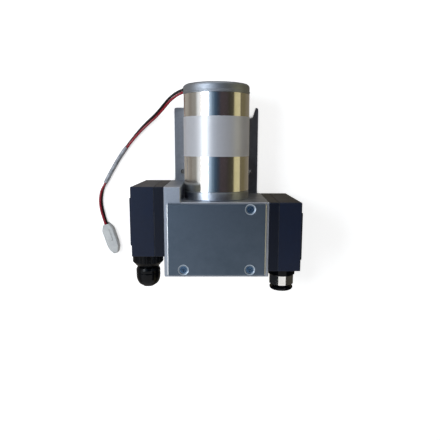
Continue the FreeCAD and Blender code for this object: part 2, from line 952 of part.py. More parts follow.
def counterweight_screw():
    middle = sleeve_end() - counterweight_thickness / 2
    length = eccentric_throw + sleeve_collar_radius() - shaft_radius - shaft_end_play
    start = shaft_radius + slip
    screw = along_x(m3_radius, start, start + length, middle, 0)
    socket = along_x(m3_radius * 0.5, start + length - 1.5, start + length, middle, 0)
    return screw.cut(socket)


# Connecting rods: ring, I-section shank and the foot that carries the diaphragm

def foot_end(side):
    """Distance from the shaft to the face of the rod's foot, at rest."""
    return rod_length + side * eccentric_throw


def connecting_rod(side, y):
    ring_radius = rod_bearing_radius + rod_ring_wall
    half = rod_thickness / 2
    ring = along_y(ring_radius, y - half, y + half, eccentric_throw)
    end = foot_end(side)
    back = end - rod_foot_thickness
    foot = turned_on_head(side, y, [(back, 0), (back, rod_foot_radius - rod_foot_taper),
                                    (back + rod_foot_taper, rod_foot_radius),
                                    (end - rod_foot_edge, rod_foot_radius),
                                    (end, rod_foot_radius - rod_foot_edge), (end, 0)])
    near = side * eccentric_throw + rod_bearing_radius + rod_lap
    far = back + rod_lap
    shank = block(side * near, side * far, y - half, y + half, -rod_height / 2, rod_height / 2)
    flutes = []
    for way in (-1, 1):
        flutes.append(block(side * (near + rod_ring_wall + rod_lap), side * (far - rod_rib),
                            y + way * rod_web / 2, y + way * (half + 1.0),
                            -rod_height / 2 + rod_rib, rod_height / 2 - rod_rib))
    rod = ring.multiFuse([shank.cut(Part.makeCompound(flutes)), foot])
    seat_top = rod_bearing_start(y) + rod_bearing_width
    room = along_y(rod_bearing_radius + slip, y - half, seat_top, eccentric_throw)
    throat = along_y(rod_bearing_radius - bearing_lip, y - half, y + half, eccentric_throw)
    thread_end = end - clamp_screw_length + thread_end_room
    thread = along_x(m4_radius + slip, side * thread_end, side * end, y, 0)
    return rod.cut(room).cut(throat).cut(thread)


def diaphragm_inner(side):
    """Distance from the shaft to the inner face of the diaphragm's middle."""
    return foot_end(side)


def diaphragm(side, y):
    lift = side * eccentric_throw
    rim_low = diaphragm_seat
    rim_high = housing_half_width
    mid_low = diaphragm_inner(side)
    mid_high = mid_low + diaphragm_thickness
    bend = (rod_foot_radius + dish_radius) / 2
    sag = lift / 2 - fold_sag
    profile = [(mid_low, m4_radius + slip), (mid_high, m4_radius + slip),
               (mid_high, rod_foot_radius), (rim_high + sag, bend),
               (rim_high, dish_radius), (rim_high, diaphragm_radius),
               (rim_low, diaphragm_radius), (rim_low, dish_radius),
               (rim_low + sag, bend), (mid_low, rod_foot_radius)]
    return turned_on_head(side, y, profile)


def clamp_disc(side, y):
    low = diaphragm_inner(side) + diaphragm_thickness
    high = low + clamp_disc_thickness
    edge = clamp_disc_edge
    disc = turned_on_head(side, y, [(low, 0), (low, clamp_disc_radius - edge),
                                    (low + edge, clamp_disc_radius),
                                    (high - edge, clamp_disc_radius),
                                    (high, clamp_disc_radius - edge), (high, 0)])
    cuts = [along_x(m4_radius + slip, side * low, side * high, y, 0),
            countersink(at(side * high, y, 0), X_AXIS * -side, m4_radius, m4_csk_radius)]
    return cut_all(disc, cuts)


def clamp_screw(side, y):
    high = diaphragm_inner(side) + diaphragm_thickness + clamp_disc_thickness
    return countersunk_screw(at(side * high, y, 0), X_AXIS * -side, Y_AXIS,
                             clamp_screw_length, m4_radius, m4_csk_radius)


# Pump heads: valve plate, umbrella valves, gasket, cover and screws

def head_slab(side, y, inner, outer):
    half = head_length / 2
    return block(side * inner, side * outer, y - half, y + half,
                 -housing_half_depth, housing_half_depth)


def outer_rims(shape, side, y):
    """A head plate's four edges along X, at its corners."""
    half = head_length / 2

    def is_rim(middle, way):
        at_end = abs(abs(middle.y - at(0, y, 0).y) - half) < 0.01
        at_face = abs(abs(middle.z - axis_height) - housing_half_depth) < 0.01
        return (at_end and at_face) and runs_along(way, X_AXIS)

    return straight_edges(shape, is_rim)


def head_holes(side, y, inner, outer):
    holes = []
    for screw_y, screw_z in head_screw_places(y):
        holes.append(along_x(m4_radius + slip, side * inner, side * outer, screw_y, screw_z))
    return holes


def valve_holes(side, y, z, inner, outer):
    """The ring of holes that one umbrella valve covers."""
    holes = []
    for index in range(valve_hole_count):
        turn = 2 * math.pi * index / valve_hole_count
        holes.append(along_x(valve_hole_radius, side * inner, side * outer,
                             y + valve_hole_circle * math.cos(turn),
                             z + valve_hole_circle * math.sin(turn)))
    return holes


def valve_plate(side, y):
    inner = housing_half_width
    outer = valve_plate_outer
    plate = head_slab(side, y, inner, outer)
    plate = plate.makeChamfer(head_chamfer, outer_rims(plate, side, y))
    cuts = [turned_on_head(side, y, [(inner, 0), (inner, dish_radius),
                                     (dish_floor, dish_floor_radius), (dish_floor, 0)])]
    cuts.append(along_x(valve_radius + valve_room, side * dish_floor,
                        side * (dish_floor + valve_recess_depth), y, valve_z))
    for z in (-valve_z, valve_z):
        cuts.append(along_x(valve_stem_radius + slip, side * dish_floor, side * outer, y, z))
        cuts.extend(valve_holes(side, y, z, dish_floor, outer))
    cuts.append(along_x(duct_radius, side * inner, side * outer, duct_y, duct_z))
    cuts.extend(head_holes(side, y, inner, outer))
    return cut_all(plate, cuts)


def umbrella_valve(side, y, z, seat, back, way):
    """A rubber umbrella valve: its lip lies on the seat, its stem goes through to the back.

    way is 1 where the lip opens away from the shaft and -1 where it opens towards it.
    """
    profile = [(seat + way * slip, 0), (seat + way * slip, valve_radius),
               (seat + way * valve_lip_edge, valve_radius),
               (seat + way * valve_lip, valve_radius * 0.4), (seat + way * valve_lip, 0)]
    lip = turned_on_head(side, y, profile, z)
    tail = back - way * valve_tail
    stem = along_x(valve_stem_radius, side * (seat + way * valve_lip / 2), side * tail, y, z)
    bulb = turned_on_head(side, y, [(back - way * slip, 0), (back - way * slip, valve_bulb_radius),
                                    (back - way * valve_bulb_shoulder, valve_bulb_radius),
                                    (back - way * valve_bulb_length, valve_stem_radius),
                                    (back - way * valve_bulb_length, 0)], z)
    return lip.multiFuse([stem, bulb])


def umbrella_valves(side, y):
    inlet_seat = dish_floor + valve_recess_depth
    inlet = umbrella_valve(side, y, valve_z, inlet_seat, valve_plate_outer, -1)
    outlet = umbrella_valve(side, y, -valve_z, valve_plate_outer, dish_floor, 1)
    return [inlet, trimmed_tail(outlet, side, y)]


def trimmed_tail(valve, side, y):
    """The outlet valve's tail is cut short above the dish floor."""
    tail = along_x(valve_bulb_radius + 0.2, side * 0, side * (dish_floor + slip), y, -valve_z)
    return valve.cut(tail)


def head_gasket(side, y):
    inner = valve_plate_outer
    outer = head_cover_inner
    half = head_length / 2 - head_gasket_inset
    depth = housing_half_depth - head_gasket_inset
    sheet = block(side * inner, side * outer, y - half, y + half, -depth, depth)
    cuts = [along_x(plenum_radius, side * inner, side * outer, y, z)
            for z in (-valve_z, valve_z)]
    cuts.append(along_x(duct_radius, side * inner, side * outer, duct_y, duct_z))
    cuts.extend(head_holes(side, y, inner, outer))
    return cut_all(sheet, cuts)


def head_cover(side, y):
    half = head_length / 2
    inner = head_cover_inner
    outer = head_cover_outer
    low = -housing_half_depth
    high = housing_half_depth
    section = [at(side * inner, y - half, low), at(side * (outer - cover_draft), y - half, low),
               at(side * outer, y - half, high), at(side * inner, y - half, high)]
    body = Part.Face(Part.makePolygon(section + section[:1])).extrude(Y_AXIS * head_length)

    def is_outer(middle, way):
        return side * middle.x > inner + 1.0

    body = body.makeChamfer(head_chamfer, straight_edges(body, is_outer))
    body = body.fuse(cover_pad(side, y + pad_shift))
    port_side = port_height(side)
    cuts = []
    cuts.append(plenum(side, y, valve_z, far_plenum_depth if side == RIGHT else plenum_depth))
    cuts.append(plenum(side, y, -valve_z, plenum_depth))
    cuts.append(along_y(port_bore_radius, y - half, y, side * port_offset, port_side))
    cuts.append(along_y(port_thread_radius + slip, y - half, y - half + port_thread_length,
                        side * port_offset, port_side))
    depth = far_duct_depth if side == RIGHT else near_duct_depth
    duct_end = valve_z if side == RIGHT else -valve_z
    cuts.append(along_x(duct_radius, side * inner, side * (inner + depth + duct_radius),
                        duct_y, duct_z))
    cuts.append(along_z(cross_duct_radius, duct_z, duct_end, side * (inner + depth), duct_y))
    seat = inner + head_screw_seat
    for screw_y, screw_z in head_screw_places(y):
        cuts.append(along_x(m4_radius + slip, side * inner, side * seat, screw_y, screw_z))
        cuts.append(along_x(m4_head_radius + body_gap, side * seat, side * (outer + 1.0),
                            screw_y, screw_z))
    return cut_all(body, cuts)


def port_height(side):
    """The left port opens into its inlet plenum, the right one into its outlet plenum."""
    return port_z * -side


def plenum(side, y, z, depth):
    """A round room over one valve."""
    return along_x(plenum_radius, side * head_cover_inner, side * (head_cover_inner + depth), y, z)


def cover_pad(side, y):
    """The raised pad on a head cover's outer face, with sloping ends."""
    half = pad_length / 2
    base = head_cover_outer - cover_draft - 1.0
    slant = cover_draft / (2 * housing_half_depth)

    def face_x(z):
        return head_cover_outer - slant * (housing_half_depth - z)

    sections = []
    for z in (-pad_half_depth, pad_half_depth):
        outer = face_x(z) + pad_height
        profile = [(base, -half), (outer - pad_height, -half), (outer, -half + pad_slope),
                   (outer, half - pad_slope), (outer - pad_height, half), (base, half)]
        corners = [at(side * x, y + end, z) for x, end in profile]
        sections.append(Part.makePolygon(corners + corners[:1]))
    return Part.makeLoft(sections, True, True)


def head_screws():
    screws = []
    for side, y in ((LEFT, left_rod_y), (RIGHT, right_rod_y)):
        seat = head_cover_inner + head_screw_seat
        tip = housing_half_width - head_screw_bite + head_screw_end_room
        for screw_y, screw_z in head_screw_places(y):
            shank = along_x(m4_radius, side * tip, side * seat, screw_y, screw_z)
            head = along_x(m4_head_radius, side * seat, side * (seat + m4_head_height),
                           screw_y, screw_z)
            socket_floor = seat + m4_head_height * (1 - hex_depth_share)
            socket = along_x(m4_radius * hex_share, side * socket_floor,
                             side * (seat + m4_head_height), screw_y, screw_z)
            screws.append(shank.fuse(head).cut(socket))
    return screws


def transfer_seals():
    seals = []
    for side in (LEFT, RIGHT):
        middle = side * (housing_half_width - seal_section)
        seals.append(Part.makeTorus(seal_radius, seal_section, at(middle, duct_y, duct_z), X_AXIS))
    return seals


# Inlet fitting on the left head: body with a fluted collar, seal and domed nut

def inlet_axis():
    return LEFT * port_offset, port_height(LEFT)


def left_port_face():
    return left_rod_y - head_length / 2


def inlet_fitting_body():
    x, z = inlet_axis()
    face = left_port_face()
    low = face - inlet_collar_length
    thread_tip = face + port_thread_length - thread_tip_room
    profile = [(port_bore_radius, thread_tip), (port_thread_radius, thread_tip),
               (port_thread_radius, face), (inlet_collar_radius - fitting_edge, face),
               (inlet_collar_radius, face - fitting_edge)]
    neck_end = low - inlet_nut_gap - inlet_neck_length
    profile.extend([(inlet_collar_radius, low + inlet_collar_taper),
                    (inlet_collar_end_radius, low),
                    (inlet_neck_radius, low), (inlet_neck_radius, neck_end),
                    (hose_radius, neck_end), (hose_radius, low + hose_stop),
                    (port_bore_radius, low + hose_stop)])
    body = turned(profile, x, z)
    flutes = []
    reach = inlet_collar_radius + inlet_flute_radius - inlet_flute_bite
    for index in range(inlet_flutes):
        turn = 2 * math.pi * index / inlet_flutes
        flutes.append(along_y(inlet_flute_radius, low, face - inlet_flute_stop,
                              x + reach * math.cos(turn), z + reach * math.sin(turn)))
    return cut_all(body, flutes)


def inlet_fitting_nut():
    x, z = inlet_axis()
    top = left_port_face() - inlet_collar_length - inlet_nut_gap
    end = top - inlet_nut_length
    ring_end = top - inlet_nut_ring
    groove = inlet_nut_groove
    profile = [(inlet_neck_radius + slip, top), (inlet_nut_radius - inlet_nut_shoulder, top),
               (inlet_nut_radius, top - inlet_nut_shoulder_length),
               (inlet_nut_radius, ring_end + groove),
               (inlet_nut_radius - groove, ring_end),
               (inlet_nut_radius, ring_end - groove)]
    lip_radius = hose_radius + inlet_nut_mouth + fitting_edge
    lip_start = end + inlet_nut_lip
    for step in range(inlet_nut_dome_steps + 1):
        turn = math.pi / 2 * step / inlet_nut_dome_steps
        profile.append((lip_radius + (inlet_nut_radius - lip_radius) * math.cos(turn),
                        lip_start + inlet_nut_dome * (1 - math.sin(turn))))
    profile.extend([(lip_radius, end + fitting_edge), (lip_radius - fitting_edge, end)])
    room_end = top - inlet_neck_length - seal_length - seal_squeeze
    profile.extend([(hose_radius, end + inlet_nut_mouth),
                    (hose_radius, room_end), (inlet_neck_radius + slip, room_end)])
    return turned(profile, x, z)


def inlet_seal():
    """The rubber ring that the nut presses onto the hose."""
    x, z = inlet_axis()
    end = left_port_face() - inlet_collar_length - inlet_nut_gap - inlet_neck_length
    bore = hose_radius + seal_squeeze
    rim = inlet_neck_radius - seal_squeeze
    return turned([(bore, end - slip), (rim, end - slip), (rim, end - seal_length),
                   (bore, end - seal_length)], x, z)


# Outlet fitting on the right head: cupped washer, nickel body and release collar

def outlet_axis():
    return RIGHT * port_offset, port_height(RIGHT)


def right_port_face():
    return right_rod_y - head_length / 2


def outlet_washer():
    """A deep cupped washer whose skirt surrounds the root of the nickel body."""
    x, z = outlet_axis()
    face = right_port_face()
    low = face - outlet_washer_length
    seat = face - outlet_washer_floor
    bore = port_thread_radius + slip
    skirt = outlet_body_radius + slip
    cut = outlet_washer_chamfer
    return turned([(bore, face), (outlet_washer_radius - fitting_edge, face),
                   (outlet_washer_radius, face - fitting_edge),
                   (outlet_washer_radius, low + cut), (outlet_washer_radius - cut, low),
                   (skirt, low), (skirt, seat), (bore, seat)], x, z)


def outlet_body_end():
    return right_port_face() - outlet_washer_floor - outlet_body_length


def outlet_fitting_body():
    x, z = outlet_axis()
    face = right_port_face()
    top = face - outlet_washer_floor
    end = outlet_body_end()
    cut = outlet_body_chamfer
    socket_floor = end + outlet_socket_depth
    thread_tip = face + port_thread_length - thread_tip_room
    profile = [(port_bore_radius, thread_tip), (port_thread_radius, thread_tip),
               (port_thread_radius, top), (outlet_body_radius - fitting_edge, top),
               (outlet_body_radius, top - fitting_edge), (outlet_body_radius, end + cut),
               (outlet_body_radius - cut, end), (outlet_socket_radius, end),
               (outlet_socket_radius, socket_floor), (port_bore_radius, socket_floor)]
    return turned(profile, x, z)


def outlet_release_collar():
    x, z = outlet_axis()
    top = outlet_body_end() - release_travel - body_gap
    end = top - release_flange_length
    sleeve_top = outlet_body_end() + release_sleeve_length
    sleeve_outer = outlet_socket_radius - running
    profile = [(hose_radius, sleeve_top), (sleeve_outer - fitting_edge, sleeve_top),
               (sleeve_outer, sleeve_top - 2 * fitting_edge), (sleeve_outer, top),
               (release_flange_radius - fitting_edge, top),
               (release_flange_radius, top - fitting_edge)]
    for step in range(5):
        turn = math.radians(90.0 * step / 4)
        profile.append((release_flange_radius - release_rounding * (1 - math.cos(turn)),
                        end + release_rounding * (1 - math.sin(turn))))
    profile.extend([(hose_radius + release_mouth, end), (hose_radius, end + release_mouth)])
    return turned(profile, x, z)


# Motor lead: straight runs joined by tangent arcs, then its sleeve and plug

def lead_route():
    """The points of the lead, chosen by hand, from the grommet to the plug."""
    way = grommet_way()
    start = at(0, lead_exit_y(), 0) + way * (motor_radius + cap_bead + grommet_proud)
    floor = -axis_height + sleeve_radius
    return [start,
            start + way * 7.0 + Vector(0, -0.8, -0.4),
            at(-38.2, 79.2, -15.0),
            at(-44.2, 73.2, -22.0),
            at(-51.3, 66.9, -29.3),
            at(-59.5, 60.1, floor + 0.7),
            at(-67.6, 52.3, floor),
            at(-75.1, 43.4, floor),
            at(-81.8, 34.9, floor),
            at(-87.2, 26.6, floor),
            at(-91.9, 18.8, floor),
            at(-96.3, 11.0, floor),
            at(-100.9, 2.2, floor),
            at(-102.5, -7.6, floor),
            at(-101.0, -17.8, floor + 0.3),
            at(-97.8, -28.0, floor + 0.9)]


def lead_pieces(points):
    """The lead's edges in order, and the arcs' radii."""
    edges = []
    radii = []
    last = points[0]
    for before, corner, after in zip(points, points[1:], points[2:]):
        back = before - corner
        ahead = after - corner
        shorter = min(back.Length, ahead.Length)
        back.normalize()
        ahead.normalize()
        turn = math.pi - back.getAngle(ahead)
        reach = 0.45 * shorter
        radius = reach / math.tan(turn / 2)
        start = corner + back * reach
        end = corner + ahead * reach
        inward = back + ahead
        inward.normalize()
        centre = corner + inward * (radius / math.cos(turn / 2))
        middle = centre - inward * radius
        edges.append(Part.LineSegment(last, start).toShape())
        edges.append(Part.Arc(start, middle, end).toShape())
        radii.append(radius)
        last = end
    edges.append(Part.LineSegment(last, points[-1]).toShape())
    return edges, radii


def tube_along(edges, radius, bore=0.0):
    """A round tube swept along joined edges."""
    wire = Part.Wire(edges)
    first = edges[0]
    start = first.valueAt(first.FirstParameter)
    way = first.tangentAt(first.FirstParameter)
    rim = Part.Wire(Part.makeCircle(radius, start, way))
    tube = wire.makePipeShell([rim], True, False)
    if bore:
        core = Part.Wire(Part.makeCircle(bore, start, way))
        tube = tube.cut(wire.makePipeShell([core], True, False))
    return tube


def motor_lead():
    edges, radii = lead_pieces(lead_route())
    tube = tube_along(edges, lead_radius)
    length = sum(edge.Length for edge in edges)
    section = math.pi * lead_radius ** 2
    print("lead length", round(length, 1), "volume over section times length",
          round(tube.Volume / (section * length), 5))
    print("lead arc radii", [round(radius, 1) for radius in radii])
    return tube


def lead_sleeve():
    """A pale sleeve over part of the lead, on the same runs and arcs."""
    edges, radii = lead_pieces(lead_route())
    covered = []
    done = 0.0
    for edge in edges:
        middle = done + edge.Length / 2
        if sleeve_from < middle < sleeve_to:
            covered.append(edge)
        done += edge.Length
    return tube_along(covered, sleeve_radius, lead_radius + slip)


def plug_frame():
    """Where the lead meets the plug, and the plug's long direction on the floor."""
    points = lead_route()
    way = points[-1] - points[-2]
    way.z = 0
    way.normalize()
    return points[-1], way


def on_plug(shape):
    """Move a shape built along +X from the origin to the plug's place on the floor."""
    start, way = plug_frame()
    turn = FreeCAD.Rotation(X_AXIS, way)
    shape.Placement = FreeCAD.Placement(Vector(start.x, start.y, 0), turn)
    return shape


def lead_plug():
    half = plug_half_width
    tip = plug_tip_half_width
    body_end = plug_length - plug_taper_length
    cut = plug_corner
    waist = body_end + plug_taper_length / 2
    waist_half = (half + tip) / 2 + plug_taper_bulge
    one_side = [(0.0, plug_neck_half_width), (plug_neck_length, half), (body_end, half),
                (waist, waist_half), (plug_length - cut, tip), (plug_length, tip - cut)]
    other_side = [(x, -y) for x, y in reversed(one_side)]
    corners = [Vector(x, y, 0) for x, y in one_side + other_side]
    body = Part.Face(Part.makePolygon(corners + corners[:1])).extrude(Z_AXIS * plug_height)
    rims = straight_edges(body, lambda middle, way: abs(middle.z - plug_height) < 0.01)
    body = body.makeChamfer(plug_edge, rims)
    latch = Part.makeBox(plug_latch_length, plug_latch_width, plug_latch_height,
                         Vector(plug_latch_start, -plug_latch_width / 2, plug_height))
    latch_corner = Vector(plug_latch_start + plug_latch_length, 0,
                          plug_height + plug_latch_height)
    tip_edge = straight_edges(latch, lambda middle, way: (middle - latch_corner).Length < 0.01)
    body = body.fuse(latch.makeChamfer(plug_latch_height * 0.8, tip_edge))
    cuts = []
    for way in (-1, 1):
        cuts.append(Part.makeCylinder(plug_cavity_radius, plug_length,
                                      Vector(plug_cavity_start, way * plug_cavity_pitch / 2,
                                             plug_height / 2),
                                      X_AXIS))
    return on_plug(cut_all(body, cuts))


def plug_terminals():
    pins = []
    for way in (-1, 1):
        start = Vector(plug_length - plug_terminal_length - plug_terminal_inset,
                       way * plug_cavity_pitch / 2, plug_height / 2)
        barrel = Part.makeCylinder(plug_cavity_radius - slip, plug_terminal_length, start, X_AXIS)
        hollow = Part.makeCylinder(plug_cavity_radius - plug_terminal_wall,
                                   plug_terminal_length * 0.7,
                                   start + X_AXIS * plug_terminal_length * 0.3, X_AXIS)
        pins.append(on_plug(barrel.cut(hollow)))
    return pins


# Write every sub-part

def save(name, shape):
    """Write one sub-part; a list becomes a group of separate solids."""
    if isinstance(shape, list):
        shape = Part.makeCompound(shape)
    solids = shape.Solids
    if not solids or not shape.isValid():
        raise ValueError("not a sound solid: " + name)
    shape = solids[0] if len(solids) == 1 else Part.makeCompound(solids)
    shape.exportStep("parts/" + name + ".step")
    print(name, len(solids), round(shape.Volume, 1))


single_pieces = (base_plate, base_plate_screws, crank_housing, housing_cover, cover_gasket,
                 cover_screws, motor_front_flange, motor_screws, motor_tube, motor_magnets,
                 motor_end_cap, lead_grommet, brush_plate, brush_holders, carbon_brushes,
                 brush_springs, motor_label, motor_shaft, armature_core, armature_windings,
                 commutator, shaft_bearing_inner_rings, shaft_bearing_outer_rings,
                 rod_bearing_inner_rings, eccentric_sleeve, bearing_spacer, counterweight,
                 counterweight_screw, head_screws, transfer_seals, inlet_fitting_body,
                 inlet_fitting_nut, inlet_seal, outlet_washer, outlet_fitting_body,
                 outlet_release_collar, motor_lead, lead_sleeve, lead_plug, plug_terminals)

for piece in single_pieces:
    save(piece.__name__, piece())

head_pieces = (connecting_rod, diaphragm, clamp_disc, clamp_screw, valve_plate,
               umbrella_valves, head_gasket, head_cover)

for word, side, y in (("left_", LEFT, left_rod_y), ("right_", RIGHT, right_rod_y)):
    for piece in head_pieces:
        save(word + piece.__name__, piece(side, y))
    save(word + "rod_bearing_outer_ring", rod_bearing_outer_ring(y))
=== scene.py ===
import math

import bmesh
import bpy
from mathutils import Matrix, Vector


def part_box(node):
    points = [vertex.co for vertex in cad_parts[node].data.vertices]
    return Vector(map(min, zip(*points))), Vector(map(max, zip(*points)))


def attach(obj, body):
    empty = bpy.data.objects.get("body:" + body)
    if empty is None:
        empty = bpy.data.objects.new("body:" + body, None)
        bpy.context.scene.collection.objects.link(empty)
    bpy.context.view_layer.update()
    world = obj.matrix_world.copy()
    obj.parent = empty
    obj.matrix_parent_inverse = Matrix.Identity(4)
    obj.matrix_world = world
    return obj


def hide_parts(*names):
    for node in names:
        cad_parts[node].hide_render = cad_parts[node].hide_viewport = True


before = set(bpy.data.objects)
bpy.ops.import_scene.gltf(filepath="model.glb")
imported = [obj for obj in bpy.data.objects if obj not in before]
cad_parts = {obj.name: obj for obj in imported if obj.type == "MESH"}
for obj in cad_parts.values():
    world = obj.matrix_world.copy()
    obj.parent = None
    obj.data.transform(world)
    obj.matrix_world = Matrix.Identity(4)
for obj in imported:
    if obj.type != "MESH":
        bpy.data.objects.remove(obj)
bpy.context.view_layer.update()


# The camera that took the photograph looked nearly straight down on the pump
# from 0.4 m, leaning a little towards the two fittings.

photo_camera = bpy.data.cameras.new("photo_camera")
photo_camera.lens = 36.82
photo_camera.sensor_width = 36.0
camera = bpy.data.objects.new("photo_camera", photo_camera)
camera.location = (-0.00175, 0.0234, 0.3995)
camera.rotation_euler = [math.radians(turn) for turn in (-9.5133, -0.7164, 0.1695)]
bpy.context.scene.collection.objects.link(camera)
bpy.context.scene.camera = camera
bpy.context.scene.view_settings.view_transform = "Standard"


# The motor lead is two PVC-covered wires, red and black, twisted loosely. It
# leaves the end cap through a grommet, drops to the bench and runs in one
# loose bow to a white two-pin plug; a pale sleeve grips its middle.

def rgb(red, green, blue):
    """A colour given as it looks on screen, from 0 to 255, for a shader."""
    linear = []
    for value in (red, green, blue):
        share = value / 255
        linear.append(share / 12.92 if share < 0.04045 else ((share + 0.055) / 1.055) ** 2.4)
    return (*linear, 1.0)


def feed(tree, socket, value):
    """Set a socket to a number or a colour, or link another socket to it."""
    if isinstance(value, (float, tuple)):
        socket.default_value = value
    else:
        tree.links.new(value, socket)


def math_node(tree, kind, *given, clamp=False):
    """The result of one arithmetic step on numbers or sockets."""
    node = tree.nodes.new("ShaderNodeMath")
    node.operation = kind
    node.use_clamp = clamp
    for socket, value in zip(node.inputs, given):
        feed(tree, socket, value)
    return node.outputs[0]


def map_range(tree, value, first, last, low=0.0, high=1.0):
    """A value moved from the range first to last onto the range low to high."""
    node = tree.nodes.new("ShaderNodeMapRange")
    node.inputs["From Min"].default_value = first
    node.inputs["From Max"].default_value = last
    node.inputs["To Min"].default_value = low
    node.inputs["To Max"].default_value = high
    tree.links.new(value, node.inputs["Value"])
    return node.outputs["Result"]


def mix(tree, share, first, second, kind="RGBA"):
    """Two colours, or two numbers, mixed by a share from 0 to 1."""
    node = tree.nodes.new("ShaderNodeMix")
    node.data_type = kind
    feed(tree, node.inputs["Factor"], share)
    feed(tree, node.inputs["A"], first)
    feed(tree, node.inputs["B"], second)
    return node.outputs["Result"]


def noise(tree, place, scale, detail):
    """A noise node that reads its place and scale from sockets."""
    node = tree.nodes.new("ShaderNodeTexNoise")
    node.inputs["Detail"].default_value = detail
    tree.links.new(place, node.inputs["Vector"])
    tree.links.new(scale, node.inputs["Scale"])
    return node


def new_group(name, inputs, outputs):
    """An empty shader group with named sockets, and its two end nodes."""
    group = bpy.data.node_groups.new(name, "ShaderNodeTree")
    for label, kind, value in inputs:
        socket = group.interface.new_socket(label, in_out="INPUT", socket_type=kind)
        if value is not None:
            socket.default_value = value
    for label, kind in outputs:
        group.interface.new_socket(label, in_out="OUTPUT", socket_type=kind)
    return group, group.nodes.new("NodeGroupInput"), group.nodes.new("NodeGroupOutput")


def use_group(tree, group, **given):
    """The result of a shader group on named values."""
    node = tree.nodes.new("ShaderNodeGroup")
    node.node_tree = group
    for label, value in given.items():
        feed(tree, node.inputs[label], value)
    return node.outputs[0]


fine_ratio = 7.0
fine_share = 0.3
edge_radius = 0.0005
grain_depth = 0.0002


def cloudy_group():
    """Soft patches in two sizes, from 0 to 1, for uneven colour and gloss."""
    group, given, made = new_group(
        "cloudy", [("Vector", "NodeSocketVector", None), ("Scale", "NodeSocketFloat", 50.0),
                   ("Contrast", "NodeSocketFloat", 1.0)],
        [("Mask", "NodeSocketFloat")])
    place, scale = given.outputs["Vector"], given.outputs["Scale"]
    wide = noise(group, place, scale, 5.0)
    fine = noise(group, place, math_node(group, "MULTIPLY", scale, fine_ratio), 3.0)
    both = mix(group, fine_share, wide.outputs["Fac"], fine.outputs["Fac"], kind="FLOAT")
    centred = math_node(group, "SUBTRACT", both, 0.5)
    spread = math_node(group, "MULTIPLY", centred, given.outputs["Contrast"])
    mask = math_node(group, "MULTIPLY_ADD", spread, 3.0, 0.5, clamp=True)
    group.links.new(mask, made.inputs["Mask"])
    return group


def grain_group():
    """Fine relief, drawn out along one way by Stretch: brushing, drawing or grit."""
    group, given, made = new_group(
        "grain", [("Vector", "NodeSocketVector", None), ("Scale", "NodeSocketFloat", 2000.0),
                  ("Stretch", "NodeSocketVector", (1.0, 1.0, 1.0))],
        [("Height", "NodeSocketFloat")])
    drawn = group.nodes.new("ShaderNodeVectorMath")
    drawn.operation = "MULTIPLY"
    group.links.new(given.outputs["Vector"], drawn.inputs[0])
    group.links.new(given.outputs["Stretch"], drawn.inputs[1])
    specks = noise(group, drawn.outputs[0], given.outputs["Scale"], 2.0)
    specks.inputs["Roughness"].default_value = 0.6
    group.links.new(specks.outputs["Fac"], made.inputs["Height"])
    return group


def worn_edge_group():
    """1 along outer edges, where handling rubs a finish bright, and 0 elsewhere."""
    group, given, made = new_group(
        "worn_edge", [("Vector", "NodeSocketVector", None), ("Scale", "NodeSocketFloat", 400.0),
                      ("Strength", "NodeSocketFloat", 1.0)],
        [("Mask", "NodeSocketFloat")])
    rounded = group.nodes.new("ShaderNodeBevel")
    rounded.samples = 4
    rounded.inputs["Radius"].default_value = edge_radius
    surface = group.nodes.new("ShaderNodeNewGeometry")
    likeness = group.nodes.new("ShaderNodeVectorMath")
    likeness.operation = "DOT_PRODUCT"
    group.links.new(rounded.outputs["Normal"], likeness.inputs[0])
    group.links.new(surface.outputs["True Normal"], likeness.inputs[1])
    edge = map_range(group, likeness.outputs["Value"], 0.995, 0.85)
    patchy = noise(group, given.outputs["Vector"], given.outputs["Scale"], 3.0)
    broken = math_node(group, "MULTIPLY", edge, patchy.outputs["Fac"])
    amount = math_node(group, "MULTIPLY", broken, given.outputs["Strength"], clamp=True)
    group.links.new(amount, made.inputs["Mask"])
    return group


cloudy = cloudy_group()
grain = grain_group()
worn_edge = worn_edge_group()


def finish(name, colour, second, patch, gloss, metallic=0.0, grit=2500.0,
           stretch=(1.0, 1.0, 1.0), relief=0.1, contrast=1.0, edge=None, edge_strength=0.0):
    """A surface whose colour drifts between two shades and whose gloss and relief vary.

    patch is the size of the patches in metres, gloss the two roughnesses.
    """
    material = bpy.data.materials.new(name)
    material.use_nodes = True
    tree = material.node_tree
    shader = tree.nodes["Principled BSDF"]
    place = tree.nodes.new("ShaderNodeTexCoord").outputs["Object"]
    patches = use_group(tree, cloudy, Vector=place, Scale=1.0 / patch, Contrast=contrast)
    top_colour = mix(tree, patches, colour, second)
    rough = map_range(tree, patches, 0.0, 1.0, gloss[0], gloss[1])
    bump = tree.nodes.new("ShaderNodeBump")
    bump.inputs["Strength"].default_value = relief
    bump.inputs["Distance"].default_value = grain_depth
    fine = use_group(tree, grain, Vector=place, Scale=grit, Stretch=stretch)
    tree.links.new(fine, bump.inputs["Height"])
    if edge:
        rim = use_group(tree, worn_edge, Vector=place, Strength=edge_strength)
        top_colour = mix(tree, rim, top_colour, edge)
    tree.links.new(top_colour, shader.inputs["Base Color"])
    tree.links.new(rough, shader.inputs["Roughness"])
    tree.links.new(bump.outputs["Normal"], shader.inputs["Normal"])
    shader.inputs["Metallic"].default_value = metallic
    return material


def tune(material, label, value):
    """Set one socket of a material's own shader."""
    material.node_tree.nodes["Principled BSDF"].inputs[label].default_value = value


def paint(material, *nodes):
    """Give CAD nodes a material."""
    for name in nodes:
        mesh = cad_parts[name].data
        mesh.materials.clear()
        mesh.materials.append(material)


def shade_smooth(mesh, crease=None):
    """Shade a mesh smooth, with sharp edges past the crease angle in degrees."""
    for face in mesh.polygons:
        face.use_smooth = True
    if crease:
        mesh.set_sharp_from_angle(angle=math.radians(crease))
    return mesh


